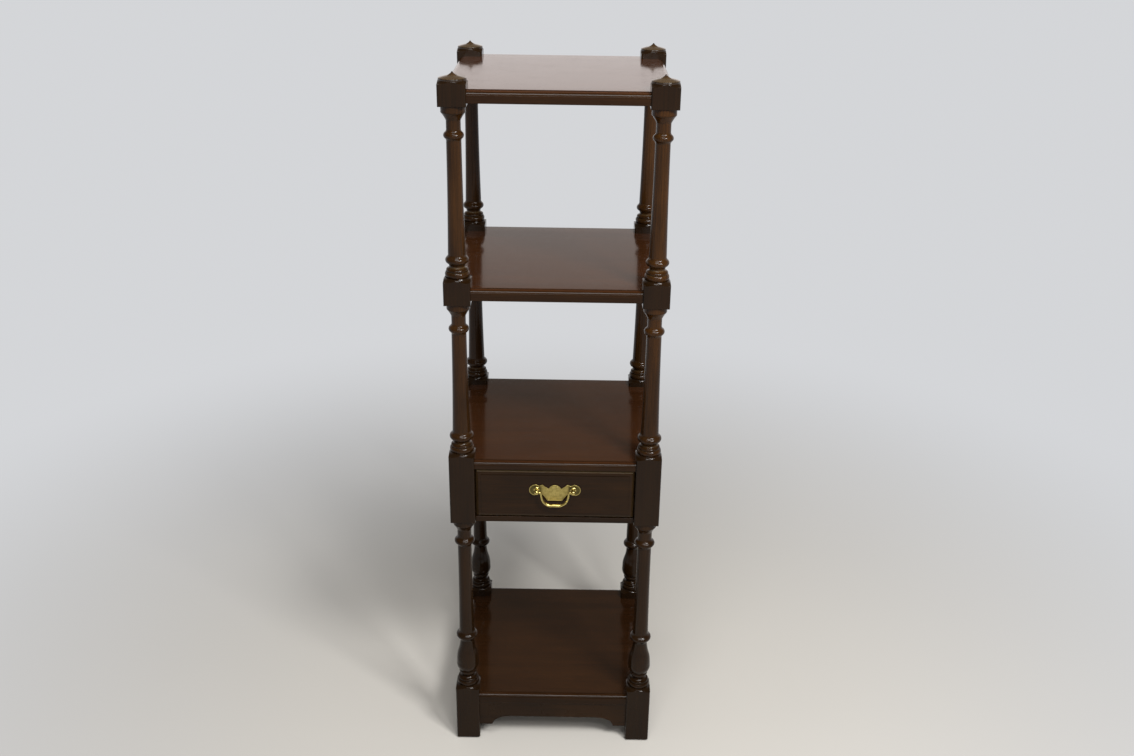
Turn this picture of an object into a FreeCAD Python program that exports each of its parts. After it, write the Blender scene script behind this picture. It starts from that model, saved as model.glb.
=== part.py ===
import FreeCAD, Part
import math
import os

# Square shelving stand of dark wood: four turned corner posts, four shelves, one drawer with a
# bail pull under the third shelf. Millimetres, +Z up, front towards -Y. The origin lies on the
# floor, midway between the four posts.

V = FreeCAD.Vector

# Outer sizes of the stand, across the faces of the square blocks
overall_width = 368.0
overall_depth = 368.0

# Posts: square blocks where the shelves join, turned lengths between them
block_width = 44.4
foot_block_height = 121.9
lower_turning_length = 359.3
case_block_height = 135.8
middle_turning_length = 272.3
second_block_height = 44.8
upper_turning_length = 275.7
top_block_height = 37.8
block_arris = 3.4
foot_chamfer = 3.2

# Shoulder of each block, cut on the lathe as a cove from under the turning out to the corners
shoulder_radius = 20.2
shoulder_drop = 5.4
top_shoulder_radius = 22.0
top_shoulder_drop = 4.0
shoulder_cove_share = -0.2

# Turned pattern that hangs from the underside of each block: cup, neck, bead
cup_radius = 19.4
cup_wall_height = 9.0
cup_round_height = 3.4
cup_round = 1.1
cup_height = 23.5
neck_height = 12.5
bead_length = 21.0
bead_nose_height = 8.6
bead_nose_depth = 1.9

# Turned pattern that stands on each block: base moulding, ring, pinch, bead
base_height = 9.0
base_bulge = 1.9
base_groove = 2.2
ring_height = 4.8
ring_bulge = 1.1
pinch_height = 2.8
foot_bead_length = 23.0

# Radii of the upper turned length
upper_neck_radius = 11.5
upper_bead_radius = 16.2
upper_column_top_radius = 11.9
upper_column_foot_radius = 14.5
upper_foot_bead_radius = 19.0
upper_pinch_radius = 12.9
upper_base_radius = 20.2

# Radii of the middle turned length
middle_neck_radius = 12.0
middle_bead_radius = 17.1
middle_column_top_radius = 12.5
middle_column_foot_radius = 15.5
middle_foot_bead_radius = 20.8
middle_pinch_radius = 14.0
middle_base_radius = 20.9

# Radii of the lower turned length, and the vase at its foot
lower_neck_radius = 12.4
lower_bead_radius = 17.9
lower_column_top_radius = 12.4
lower_column_foot_radius = 14.1
lower_foot_bead_radius = 19.6
lower_pinch_radius = 12.5
lower_base_radius = 20.7
vase_neck_radius = 13.1
vase_shoulder_radius = 17.2
vase_belly_radius = 20.5
vase_foot_radius = 15.6
vase_ring_radius = 16.4
vase_ring_height = 6.4
vase_foot_cove_height = 6.6
vase_belly_height = 18.5
vase_shoulder_height = 24.0
vase_neck_height = 24.5

# How far each curve of the turning stands off its chord, as a share of the chord
cove_share = -0.14
pinch_cove_share = -0.10
column_share = -0.003
cup_share = -0.03
vase_belly_share = 0.11
vase_shoulder_share = 0.042
vase_neck_share = -0.035

# Finial: a turned button on top of each post, glued in with its own dowel
finial_radius = 21.8
finial_edge_height = 3.0
finial_edge_round = 1.0
finial_crown_radius = 8.3
finial_crown_height = 6.2
finial_height = 12.0
finial_tip_radius = 1.8
finial_dowel_radius = 5.0
finial_dowel_length = 13.0
finial_skirt_share = 0.02
finial_spire_share = -0.04

# Shelves: boards notched round the blocks, with a thumbnail moulding on all four edges. The
# third one, over the drawer, is thinner.
shelf_thickness = 20.5
third_shelf_thickness = 15.8
shelf_inset = 4.0
top_shelf_drop = 12.4
second_shelf_drop = 16.4
third_shelf_drop = 13.9
bottom_shelf_drop = 18.7
moulding_width = 8.5
moulding_quirk = 1.5
moulding_drop = 8.0
shelf_under_round = 1.2

# Dowels that hold the shelves to the blocks
dowel_radius = 4.0
dowel_length = 34.0

# Boards between the posts: drawer case and aprons
panel_thickness = 16.0
panel_setback = 6.0
tenon_thickness = 8.0
tenon_length = 12.0
tenon_shoulder = 10.0
apron_foot_gap = 30.0
arch_rise = 19.5
arch_end_length = 24.0
arch_curve_length = 38.0
apron_setback = 6.0
apron_thickness = 16.0
glue_block_size = 18.0
glue_block_length = 70.0

# Drawer case
rail_height = 10.5
rail_setback = 8.5
rail_tenon_thickness = 6.0
rail_tenon_margin = 5.0
runner_width = 44.0
guide_height = 14.0
stop_length = 14.0
stop_width = 14.0
stop_height = 12.0

# Drawer
drawer_front_thickness = 20.0
drawer_face_setback = 5.5
drawer_side_gap = 0.5
drawer_lower_gap = 0.5
drawer_upper_gap = 0.6
drawer_moulding_width = 10.4
drawer_moulding_quirk = 1.0
drawer_moulding_drop = 4.5
drawer_side_thickness = 12.0
drawer_side_headroom = 13.1
drawer_side_play = 1.3
drawer_runner_play = 0.3
drawer_back_thickness = 12.0
drawer_back_inset = 5.0
drawer_back_drop = 6.0
drawer_housing_depth = 4.0
drawer_bottom_thickness = 5.0
drawer_bottom_rise = 8.0
drawer_groove_depth = 5.0
stop_play = 0.3
dovetail_length = 12.0
dovetail_height = 15.0
dovetail_flare = 2.2
dovetail_count = 3
bottom_screw_radius = 1.75
bottom_screw_length = 20.0
bottom_screw_head_radius = 3.4
bottom_screw_head_height = 2.0
bottom_screw_spacing = 160.0

# Bail pull: plate, two posts with nuts, swinging bail. The plate's edges leave its round lobes
# at the lobe turn, in degrees from the plate's long axis.
pull_rise = 9.2
pull_bore_spacing = 64.0
plate_width = 90.0
plate_rise = 10.9
plate_drop = 20.8
plate_thickness = 1.6
plate_lobe_radius = 10.4
plate_lobe_turn = 128.0
pull_post_flange_radius = 5.6
pull_post_flange_height = 1.4
pull_post_neck_radius = 3.2
pull_post_projection = 8.4
pull_post_head_radius = 4.8
pull_post_stud_radius = 2.0
pull_nut_sides = 6
pull_nut_width = 7.0
pull_nut_height = 3.2
pull_stud_overhang = 1.6
bail_end_radius = 1.7
bail_middle_radius = 3.0
bail_half_width = 24.2
bail_drop = 26.0
bail_bend_radius = 2.4
bail_bore_past_centre = 1.0
bail_foot_share = 0.42
bail_corner_width_share = 0.80
bail_corner_drop_share = 0.76
bail_side_width_share = 0.955
bail_side_drop_share = 0.42
bail_end_gap = 0.4

# Control points of the curve at each end of an apron's arch: shares of its length and its rise
arch_curve_shares = ((0, 0), (0.05, 0.60), (0.26, 0.90), (1, 1))

# How far a quarter of a circle stands off its chord, as a share of the chord
quarter_share = (math.sqrt(2) - 1) / 2

# Fits
joint_clearance = 0.1
dowel_clearance = 0.05
tenon_end_clearance = 1.0
pin_clearance = 0.06
overrun = 5.0

# How near to upright or to one height an edge has to lie, as a share of its length or an arris
level_share = 1e-6

# Heights and places worked out from the sizes above
case_block_bottom = foot_block_height + lower_turning_length
case_block_top = case_block_bottom + case_block_height
second_block_bottom = case_block_top + middle_turning_length
second_block_top = second_block_bottom + second_block_height
top_block_bottom = second_block_top + upper_turning_length
post_height = top_block_bottom + top_block_height
half_width = overall_width / 2
half_depth = overall_depth / 2
post_x = half_width - block_width / 2
post_y = half_depth - block_width / 2
inner_x = half_width - block_width
inner_y = half_depth - block_width
top_shelf_top = post_height - top_shelf_drop
second_shelf_top = second_block_top - second_shelf_drop
third_shelf_top = case_block_top - third_shelf_drop
bottom_shelf_top = foot_block_height - bottom_shelf_drop
case_ceiling = third_shelf_top - third_shelf_thickness
case_floor = case_block_bottom + rail_height
apron_top = bottom_shelf_top - shelf_thickness
panel_inner_x = half_width - panel_setback - panel_thickness
panel_inner_y = half_depth - panel_setback - panel_thickness
drawer_front_half = inner_x - drawer_side_gap
drawer_side_outer = inner_x - drawer_side_play
drawer_side_inner = drawer_side_outer - drawer_side_thickness
drawer_side_bottom = case_floor + drawer_runner_play
drawer_side_top = case_ceiling - drawer_side_headroom
drawer_side_height = drawer_side_top - drawer_side_bottom
drawer_front_bottom = case_floor + drawer_lower_gap
drawer_front_top = case_ceiling - drawer_upper_gap
drawer_face_y = -half_depth + drawer_face_setback
drawer_front_back_y = drawer_face_y + drawer_front_thickness
drawer_side_rear_y = inner_y - stop_length - stop_play
drawer_back_y = drawer_side_rear_y - drawer_back_inset
drawer_bottom_z = drawer_side_bottom + drawer_bottom_rise
pull_z = (drawer_front_bottom + drawer_front_top) / 2 + pull_rise
pull_x = pull_bore_spacing / 2
plate_face_y = drawer_face_y - plate_thickness
pivot_y = plate_face_y - pull_post_projection


def box(x0, x1, y0, y1, z0, z1):
    """Box between two corners."""
    return Part.makeBox(x1 - x0, y1 - y0, z1 - z0, V(x0, y0, z0))


def rod(radius, start, direction, length):
    """Round rod that starts at a point and runs along a direction."""
    return Part.makeCylinder(radius, length, start, direction)


def mirrored_x(shape):
    return shape.mirror(V(0, 0, 0), V(1, 0, 0))


def mirrored_y(shape):
    return shape.mirror(V(0, 0, 0), V(0, 1, 0))


def joined(shapes):
    """One solid from shapes that meet."""
    return shapes[0].fuse(shapes[1:]).removeSplitter()


def edges_where(shape, test):
    return [edge for edge in shape.Edges if test(edge)]


def is_upright(edge):
    ends = [vertex.Point for vertex in edge.Vertexes]
    if len(ends) < 2:
        return False
    run = ends[1] - ends[0]
    return math.hypot(run.x, run.y) < abs(run.z) * level_share


def lies_at(height):
    """Test for edges whose ends both lie at one height."""

    def test(edge):
        return all(abs(vertex.Z - height) < block_arris * level_share for vertex in edge.Vertexes)
    return test


class Outline:
    """Half outline of a turned piece, drawn from point to point as radius and height."""

    def __init__(self, radius, height):
        self.here = V(radius, 0, height)
        self.start = self.here
        self.edges = []

    def line(self, radius, height):
        there = V(radius, 0, height)
        self.edges.append(Part.LineSegment(self.here, there).toShape())
        self.here = there

    def bow(self, radius, height, share):
        """Arc whose middle stands off its chord, outwards if the share is positive."""
        there = V(radius, 0, height)
        chord = there - self.here
        side = V(chord.z, 0, -chord.x)
        middle = (self.here + there) / 2 + side * share
        self.edges.append(Part.Arc(self.here, middle, there).toShape())
        self.here = there

    def taper(self, radius, height, share):
        """Long, nearly straight curve whose middle stands off its chord by a share of it."""
        there = V(radius, 0, height)
        chord = there - self.here
        side = V(chord.z, 0, -chord.x)
        curve = Part.BezierCurve()
        curve.setPoles([self.here, (self.here + there) / 2 + side * (share + share), there])
        self.edges.append(curve.toShape())
        self.here = there

    def nose(self, radius, height, depth):
        """Rounded nose that stands out by a depth, up to the same or another radius."""
        chord = math.hypot(radius - self.here.x, height - self.here.z)
        self.bow(radius, height, depth / chord)

    def solid(self, x=0.0, y=0.0):
        """The outline closed to its axis and turned about it."""
        top = V(0, 0, self.here.z)
        bottom = V(0, 0, self.start.z)
        edges = list(self.edges)
        if self.here.x > 0:
            edges.append(Part.LineSegment(self.here, top).toShape())
        edges.append(Part.LineSegment(top, bottom).toShape())
        if self.start.x > 0:
            edges.append(Part.LineSegment(bottom, self.start).toShape())
        face = Part.Face(Part.Wire(edges))
        turned = face.revolve(V(0, 0, 0), V(0, 0, 1), 360)
        turned.translate(V(x, y, 0))
        return turned


def turn_base(outline, floor, base_radius, pinch_radius):
    """Base moulding, groove and ring, drawn in to the pinch; gives the pinch's height."""
    ring_radius = base_radius - base_groove
    outline.nose(base_radius - base_bulge, floor + base_height, base_bulge)
    outline.line(ring_radius - ring_bulge, floor + base_height)
    ring_top = floor + base_height + ring_height
    outline.nose(ring_radius - ring_bulge, ring_top, ring_bulge)
    outline.bow(pinch_radius, ring_top + pinch_height, pinch_cove_share)
    return ring_top + pinch_height


def turn_bead(outline, bottom, length, radius, radius_above):
    """Bead with a rounded nose between two coves."""
    middle = bottom + length / 2
    edge_radius = radius - bead_nose_depth
    outline.bow(edge_radius, middle - bead_nose_height / 2, cove_share)
    outline.nose(edge_radius, middle + bead_nose_height / 2, bead_nose_depth)
    outline.bow(radius_above, bottom + length, cove_share)


def turn_head(outline, ceiling, column_radius, bead_radius, neck_radius):
    """Column, bead, neck and cup up to the underside of a block."""
    cup_bottom = ceiling - cup_height
    neck_bottom = cup_bottom - neck_height
    bead_bottom = neck_bottom - bead_length
    outline.taper(column_radius, bead_bottom, column_share)
    turn_bead(outline, bead_bottom, bead_length, bead_radius, neck_radius)
    outline.line(neck_radius, cup_bottom)
    wall_bottom = ceiling - cup_wall_height
    outline.bow(cup_radius - cup_round, wall_bottom - cup_round_height, cup_share)
    outline.nose(cup_radius, wall_bottom, cup_round / 2)
    outline.line(cup_radius, ceiling)


def plain_turning(floor, ceiling, base_radius, pinch_radius, foot_bead_radius, foot_radius,
                  column_radius, bead_radius, neck_radius):
    """Upper or middle turned length, between two blocks."""
    outline = Outline(base_radius - base_bulge, floor)
    pinch = turn_base(outline, floor, base_radius, pinch_radius)
    turn_bead(outline, pinch, foot_bead_length, foot_bead_radius, foot_radius)
    turn_head(outline, ceiling, column_radius, bead_radius, neck_radius)
    return outline.solid(post_x, post_y)


def vase_turning(floor, ceiling):
    """Lower turned length, with a vase between its base and its foot bead."""
    outline = Outline(lower_base_radius - base_bulge, floor)
    pinch = turn_base(outline, floor, lower_base_radius, lower_pinch_radius)
    ring_bottom = pinch + vase_foot_cove_height
    ring_edge = vase_ring_radius - ring_bulge
    outline.bow(ring_edge, ring_bottom, cove_share)
    outline.nose(ring_edge, ring_bottom + vase_ring_height, ring_bulge)
    height = ring_bottom + vase_ring_height
    outline.line(vase_foot_radius, height)
    height += vase_belly_height
    outline.bow(vase_belly_radius, height, vase_belly_share)
    height += vase_shoulder_height
    outline.bow(vase_shoulder_radius, height, vase_shoulder_share)
    height += vase_neck_height
    outline.bow(vase_neck_radius, height, vase_neck_share)
    turn_bead(outline, height, foot_bead_length, lower_foot_bead_radius, lower_column_foot_radius)
    turn_head(outline, ceiling, lower_column_top_radius, lower_bead_radius, lower_neck_radius)
    return outline.solid(post_x, post_y)


def square_blank(bottom, top, lower_chamfer):
    """Square length of the back right post, with rounded arrises."""
    blank = box(inner_x, half_width, inner_y, half_depth, bottom, top)
    if lower_chamfer > 0:
        blank = blank.makeChamfer(lower_chamfer, edges_where(blank, lies_at(bottom)))
    return blank.makeFillet(block_arris, edges_where(blank, is_upright))


def block(bottom, top, lower_chamfer, end_radius=shoulder_radius, drop=shoulder_drop):
    """Square block of the back right post, under a shoulder cut on the lathe."""
    corner_radius = block_width * math.sqrt(2) / 2
    outline = Outline(corner_radius + overrun, bottom)
    outline.line(corner_radius + overrun, top - drop)
    outline.line(corner_radius, top - drop)
    outline.bow(end_radius, top, shoulder_cove_share)
    return square_blank(bottom, top, lower_chamfer).common(outline.solid(post_x, post_y))


def grown(bounds):
    """Hole for a tenon: wider all round by the joint's clearance and deeper at its end."""
    x0, x1, y0, y1, z0, z1 = bounds
    c = joint_clearance
    return box(x0 - c, x1 + c, y0 - c, y1 + c, z0 - c, z1 + c)


def tenon_x(y_middle, thickness, z0, z1):
    """Tenon along X into the back right block, as bounds."""
    return (inner_x, inner_x + tenon_length, y_middle - thickness / 2, y_middle + thickness / 2,
            z0, z1)


def tenon_y(x_middle, thickness, z0, z1):
    """Tenon along Y into the back right block, as bounds."""
    return (x_middle - thickness / 2, x_middle + thickness / 2, inner_y, inner_y + tenon_length,
            z0, z1)


def deepened_x(bounds):
    x0, x1, y0, y1, z0, z1 = bounds
    return (x0, x1 + tenon_end_clearance, y0, y1, z0, z1)


def deepened_y(bounds):
    x0, x1, y0, y1, z0, z1 = bounds
    return (x0, x1, y0, y1 + tenon_end_clearance, z0, z1)


# Tenons, as they enter the back right post; the other posts mirror them
case_tenon_z = (case_block_bottom + tenon_shoulder, case_ceiling - tenon_shoulder)
panel_mid_x = panel_inner_x + panel_thickness / 2
panel_mid_y = panel_inner_y + panel_thickness / 2
apron_mid_x = half_width - apron_setback - apron_thickness / 2
apron_mid_y = half_depth - apron_setback - apron_thickness / 2
apron_tenon_z = (apron_foot_gap + tenon_shoulder, apron_top - tenon_shoulder)
case_side_tenon = tenon_y(panel_mid_x, tenon_thickness, *case_tenon_z)
case_back_tenon = tenon_x(panel_mid_y, tenon_thickness, *case_tenon_z)
side_apron_tenon = tenon_y(apron_mid_x, tenon_thickness, *apron_tenon_z)
end_apron_tenon = tenon_x(apron_mid_y, tenon_thickness, *apron_tenon_z)
rail_front_y = half_depth - rail_setback
rail_tenon = (inner_x, inner_x + tenon_length,
              inner_y + rail_tenon_margin, rail_front_y - rail_tenon_margin,
              case_block_bottom + (rail_height - rail_tenon_thickness) / 2,
              case_block_bottom + (rail_height + rail_tenon_thickness) / 2)
shelf_dowel_y = (inner_y + half_depth - shelf_inset) / 2


def shelf_dowel(top, thickness, radius, slack):
    """Dowel along X between a shelf and the back right block, or its hole with some slack."""
    start = V(inner_x - dowel_length / 2 - slack, shelf_dowel_y, top - thickness / 2)
    return rod(radius, start, V(1, 0, 0), dowel_length + slack + slack)


def shelf_dowel_hole(top, thickness):
    return shelf_dowel(top, thickness, dowel_radius + dowel_clearance, joint_clearance)


# Height of each shelf's top and its thickness
shelves = {
    "top": (top_shelf_top, shelf_thickness),
    "second": (second_shelf_top, shelf_thickness),
    "third": (third_shelf_top, third_shelf_thickness),
    "bottom": (bottom_shelf_top, shelf_thickness),
}


def post(case_member_tenon):
    """Back right post, from foot to top block, with its mortises and dowel holes."""
    solid = joined([
        block(0, foot_block_height, foot_chamfer),
        vase_turning(foot_block_height, case_block_bottom),
        block(case_block_bottom, case_block_top, 0),
        plain_turning(case_block_top, second_block_bottom, middle_base_radius,
                      middle_pinch_radius, middle_foot_bead_radius, middle_column_foot_radius,
                      middle_column_top_radius, middle_bead_radius, middle_neck_radius),
        block(second_block_bottom, second_block_top, 0),
        plain_turning(second_block_top, top_block_bottom, upper_base_radius,
                      upper_pinch_radius, upper_foot_bead_radius, upper_column_foot_radius,
                      upper_column_top_radius, upper_bead_radius, upper_neck_radius),
        block(top_block_bottom, post_height, 0, top_shoulder_radius, top_shoulder_drop),
    ])
    holes = [grown(deepened_x(case_member_tenon)), grown(deepened_x(end_apron_tenon)),
             grown(deepened_y(case_side_tenon)), grown(deepened_y(side_apron_tenon))]
    holes += [shelf_dowel_hole(top, thickness) for top, thickness in shelves.values()]
    hole_depth = finial_dowel_length + joint_clearance
    holes.append(rod(finial_dowel_radius + dowel_clearance,
                     V(post_x, post_y, post_height - hole_depth), V(0, 0, 1),
                     hole_depth + overrun))
    return solid.cut(holes)


def finial():
    """Turned button with a flat edge and a small spire, on the back right post."""
    outline = Outline(finial_dowel_radius, post_height - finial_dowel_length)
    outline.line(finial_dowel_radius, post_height)
    outline.line(finial_radius, post_height)
    outline.line(finial_radius, post_height + finial_edge_height - finial_edge_round)
    outline.nose(finial_radius - finial_edge_round, post_height + finial_edge_height,
                 finial_edge_round / 4)
    outline.bow(finial_crown_radius, post_height + finial_crown_height, finial_skirt_share)
    outline.bow(finial_tip_radius, post_height + finial_height - finial_tip_radius,
                finial_spire_share)
    outline.bow(0, post_height + finial_height, quarter_share)
    return outline.solid(post_x, post_y)


def edge_cutter(width, quirk, drop, thickness, under_round, length):
    """Waste of a thumbnail moulding: +X points out of the edge, +Z up off the face, Y along."""
    diagonal = math.sqrt(2) / 2
    under_middle = under_round - under_round * diagonal
    points = {
        "field": V(-width, 0, overrun),
        "quirk": V(-width, 0, -quirk),
        "middle": V(width * diagonal - width, 0, drop * diagonal - drop - quirk),
        "edge": V(0, 0, -quirk - drop),
        "under": V(0, 0, under_round - thickness),
        "under_middle": V(-under_middle, 0, under_middle - thickness),
        "underside": V(-under_round, 0, -thickness),
        "below": V(-under_round, 0, -thickness - overrun),
        "outside_below": V(overrun, 0, -thickness - overrun),
        "outside": V(overrun, 0, overrun),
    }

    def line(start, end):
        return Part.LineSegment(points[start], points[end]).toShape()

    wire = Part.Wire([
        line("field", "quirk"),
        Part.Arc(points["quirk"], points["middle"], points["edge"]).toShape(),
        line("edge", "under"),
        Part.Arc(points["under"], points["under_middle"], points["underside"]).toShape(),
        line("underside", "below"),
        line("below", "outside_below"),
        line("outside_below", "outside"),
        line("outside", "field"),
    ])
    waste = Part.Face(wire).extrude(V(0, length, 0))
    waste.translate(V(0, -length / 2, 0))
    return waste


def placed(shape, base, outward, normal):
    """Shape moved so that its +X points outward and its +Z along the normal."""
    along = normal.cross(outward)
    turn = FreeCAD.Placement(base, FreeCAD.Rotation(outward, along, normal, "XZY"))
    copy = shape.copy()
    copy.Placement = turn.multiply(copy.Placement)
    return copy


def shelf(top, thickness):
    """Notched shelf with its moulded edges and dowel holes."""
    edge_x = half_width - shelf_inset
    edge_y = half_depth - shelf_inset
    board = box(-edge_x, edge_x, -edge_y, edge_y, top - thickness, top)
    wastes = []
    for sign in (-1, 1):
        along_y = edge_cutter(moulding_width, moulding_quirk, moulding_drop, thickness,
                              shelf_under_round, overall_depth)
        along_x = edge_cutter(moulding_width, moulding_quirk, moulding_drop, thickness,
                              shelf_under_round, overall_width)
        wastes.append(placed(along_y, V(sign * edge_x, 0, top), V(sign, 0, 0), V(0, 0, 1)))
        wastes.append(placed(along_x, V(0, sign * edge_y, top), V(0, sign, 0), V(0, 0, 1)))
    notch = square_blank(top - thickness - overrun, top + overrun, 0)
    hole = shelf_dowel_hole(top, thickness)
    for corner_piece in (notch, hole):
        wastes += four_corners(corner_piece)
    return board.cut(wastes)


def four_corners(shape):
    """The back right shape and its mirror images at the other three corners."""
    pair = [shape, mirrored_x(shape)]
    return pair + [mirrored_y(each) for each in pair]


def shelf_dowels(top, thickness):
    return Part.makeCompound(four_corners(shelf_dowel(top, thickness, dowel_radius, 0)))


def arch_waste(half_length, thickness):
    """Waste under an apron's arch, along X and centred, as deep as the board is thick."""
    foot = half_length - arch_end_length
    shoulder = foot - arch_curve_length
    crown = apron_foot_gap + arch_rise

    def side(sign):
        curve = Part.BezierCurve()
        curve.setPoles([V(sign * (foot - across * arch_curve_length), 0,
                          apron_foot_gap + up * arch_rise) for across, up in arch_curve_shares])
        return curve.toShape()

    floor = -overrun
    corners = [V(foot, 0, apron_foot_gap), V(half_length + overrun, 0, apron_foot_gap),
               V(half_length + overrun, 0, floor), V(-half_length - overrun, 0, floor),
               V(-half_length - overrun, 0, apron_foot_gap), V(-foot, 0, apron_foot_gap)]
    lines = [Part.LineSegment(start, end).toShape() for start, end in zip(corners, corners[1:])]
    crown_line = Part.LineSegment(V(-shoulder, 0, crown), V(shoulder, 0, crown)).toShape()
    wire = Part.Wire([side(1)] + lines + [side(-1), crown_line])
    waste = Part.Face(wire).extrude(V(0, thickness + overrun + overrun, 0))
    waste.translate(V(0, -thickness / 2 - overrun, 0))
    return waste


def end_apron():
    """Apron along X at the back, tenoned into both posts, arched underneath."""
    front = apron_mid_y - apron_thickness / 2
    board = box(-inner_x, inner_x, front, front + apron_thickness, apron_foot_gap, apron_top)
    waste = arch_waste(inner_x, apron_thickness)
    waste.translate(V(0, apron_mid_y, 0))
    board = board.cut(waste)
    tenon = box(*end_apron_tenon)
    return joined([board, tenon, mirrored_x(tenon)])


def side_apron():
    """Apron along Y on the right, tenoned into both posts, arched underneath."""
    inside = apron_mid_x - apron_thickness / 2
    board = box(inside, inside + apron_thickness, -inner_y, inner_y, apron_foot_gap, apron_top)
    waste = arch_waste(inner_y, apron_thickness)
    waste.rotate(V(0, 0, 0), V(0, 0, 1), 90)
    waste.translate(V(apron_mid_x, 0, 0))
    board = board.cut(waste)
    tenon = box(*side_apron_tenon)
    return joined([board, tenon, mirrored_y(tenon)])


def glue_blocks():
    """Blocks in the angle between each apron and the underside of the bottom shelf."""
    inside_x = apron_mid_x - apron_thickness / 2
    inside_y = apron_mid_y - apron_thickness / 2
    bottom = apron_top - glue_block_size
    half = glue_block_length / 2
    side = box(inside_x - glue_block_size, inside_x, -half, half, bottom, apron_top)
    end = box(-half, half, inside_y - glue_block_size, inside_y, bottom, apron_top)
    return Part.makeCompound([side, mirrored_x(side), end, mirrored_y(end)])


def case_side():
    """Right side of the drawer case, between the posts."""
    board = box(panel_inner_x, panel_inner_x + panel_thickness, -inner_y, inner_y,
                case_block_bottom, case_ceiling)
    tenon = box(*case_side_tenon)
    return joined([board, tenon, mirrored_y(tenon)])


def case_back():
    """Back of the drawer case, between the posts."""
    board = box(-inner_x, inner_x, panel_inner_y, panel_inner_y + panel_thickness,
                case_block_bottom, case_ceiling)
    tenon = box(*case_back_tenon)
    return joined([board, tenon, mirrored_x(tenon)])


def drawer_rail():
    """Rail under the drawer front, drawn at the back and mirrored to the front."""
    board = box(-inner_x, inner_x, inner_y, rail_front_y, case_block_bottom, case_floor)
    tenon = box(*rail_tenon)
    return mirrored_y(joined([board, tenon, mirrored_x(tenon)]))


def runner():
    """Right runner, which carries the drawer side."""
    return box(panel_inner_x - runner_width, panel_inner_x, -inner_y, inner_y,
               case_block_bottom, case_floor)


def guide():
    """Right guide, which fills the space beside the drawer and keeps it straight."""
    return box(inner_x, panel_inner_x, -inner_y, inner_y, case_floor, case_floor + guide_height)


def drawer_stops():
    """Two blocks on the runners that the drawer sides meet when it is shut."""
    stop = box(drawer_side_outer - stop_width, drawer_side_outer, inner_y - stop_length, inner_y,
               case_floor, case_floor + stop_height)
    return Part.makeCompound([stop, mirrored_x(stop)])


def dovetails(clearance, outer_x):
    """Tails of the right drawer side, out to a place along X, or their sockets with a clearance."""
    pitch = drawer_side_height / dovetail_count
    tails = []
    for index in range(dovetail_count):
        middle = drawer_side_bottom + pitch * index + pitch / 2
        root = dovetail_height / 2 - dovetail_flare + clearance
        tip = dovetail_height / 2 + clearance
        start = drawer_front_back_y
        end = drawer_front_back_y - dovetail_length - clearance
        inner_x_of_tail = drawer_side_inner - clearance
        corners = [V(inner_x_of_tail, start, middle - root),
                   V(inner_x_of_tail, start, middle + root),
                   V(inner_x_of_tail, end, middle + tip),
                   V(inner_x_of_tail, end, middle - tip)]
        face = Part.Face(Part.makePolygon(corners + corners[:1]))
        tails.append(face.extrude(V(outer_x - inner_x_of_tail, 0, 0)))
    return tails


def bottom_groove():
    """Groove for the bottom board, open at the back."""
    half = drawer_side_inner + drawer_groove_depth
    front = drawer_front_back_y - drawer_groove_depth
    return box(-half, half, front, drawer_side_rear_y + overrun, drawer_bottom_z,
               drawer_bottom_z + drawer_bottom_thickness)


def drawer_side():
    """Right side of the drawer, with tails at the front and a housing for the back."""
    board = box(drawer_side_inner, drawer_side_outer, drawer_front_back_y, drawer_side_rear_y,
                drawer_side_bottom, drawer_side_top)
    board = joined([board] + dovetails(0, drawer_side_outer))
    housing = box(drawer_side_inner - overrun, drawer_side_inner + drawer_housing_depth,
                  drawer_back_y - drawer_back_thickness, drawer_back_y,
                  drawer_bottom_z, drawer_side_top + overrun)
    return board.cut([housing, bottom_groove()])


def drawer_front():
    """Drawer front with a thumbnail moulding all round, sockets for the tails and pull holes."""
    board = box(-drawer_front_half, drawer_front_half, drawer_face_y, drawer_front_back_y,
                drawer_front_bottom, drawer_front_top)
    middle_z = (drawer_front_bottom + drawer_front_top) / 2
    tall = edge_cutter(drawer_moulding_width, drawer_moulding_quirk, drawer_moulding_drop,
                       drawer_front_thickness, joint_clearance, overall_width)
    normal = V(0, -1, 0)
    wastes = [
        placed(tall, V(drawer_front_half, drawer_face_y, middle_z), V(1, 0, 0), normal),
        placed(tall, V(-drawer_front_half, drawer_face_y, middle_z), V(-1, 0, 0), normal),
        placed(tall, V(0, drawer_face_y, drawer_front_top), V(0, 0, 1), normal),
        placed(tall, V(0, drawer_face_y, drawer_front_bottom), V(0, 0, -1), normal),
    ]
    for socket in dovetails(joint_clearance, drawer_front_half + overrun):
        wastes += [socket, mirrored_x(socket)]
    wastes.append(bottom_groove())
    for sign in (-1, 1):
        wastes.append(rod(pull_post_stud_radius + joint_clearance,
                          V(sign * pull_x, drawer_face_y - overrun, pull_z), V(0, 1, 0),
                          drawer_front_thickness + overrun + overrun))
    return board.cut(wastes)


def drawer_back():
    """Back of the drawer, housed in the sides, standing on the bottom board."""
    half = drawer_side_inner + drawer_housing_depth - joint_clearance
    board = box(-half, half, drawer_back_y - drawer_back_thickness, drawer_back_y,
                drawer_bottom_z + drawer_bottom_thickness, drawer_side_top - drawer_back_drop)
    return board.cut(bottom_screw_holes())


def bottom_screw_places():
    y = drawer_back_y - drawer_back_thickness / 2
    half = bottom_screw_spacing / 2
    return [V(x, y, drawer_bottom_z) for x in (-half, 0, half)]


def bottom_screw_holes():
    radius = bottom_screw_radius + dowel_clearance
    return [rod(radius, place - V(0, 0, overrun), V(0, 0, 1),
                bottom_screw_length + overrun + joint_clearance)
            for place in bottom_screw_places()]


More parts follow.
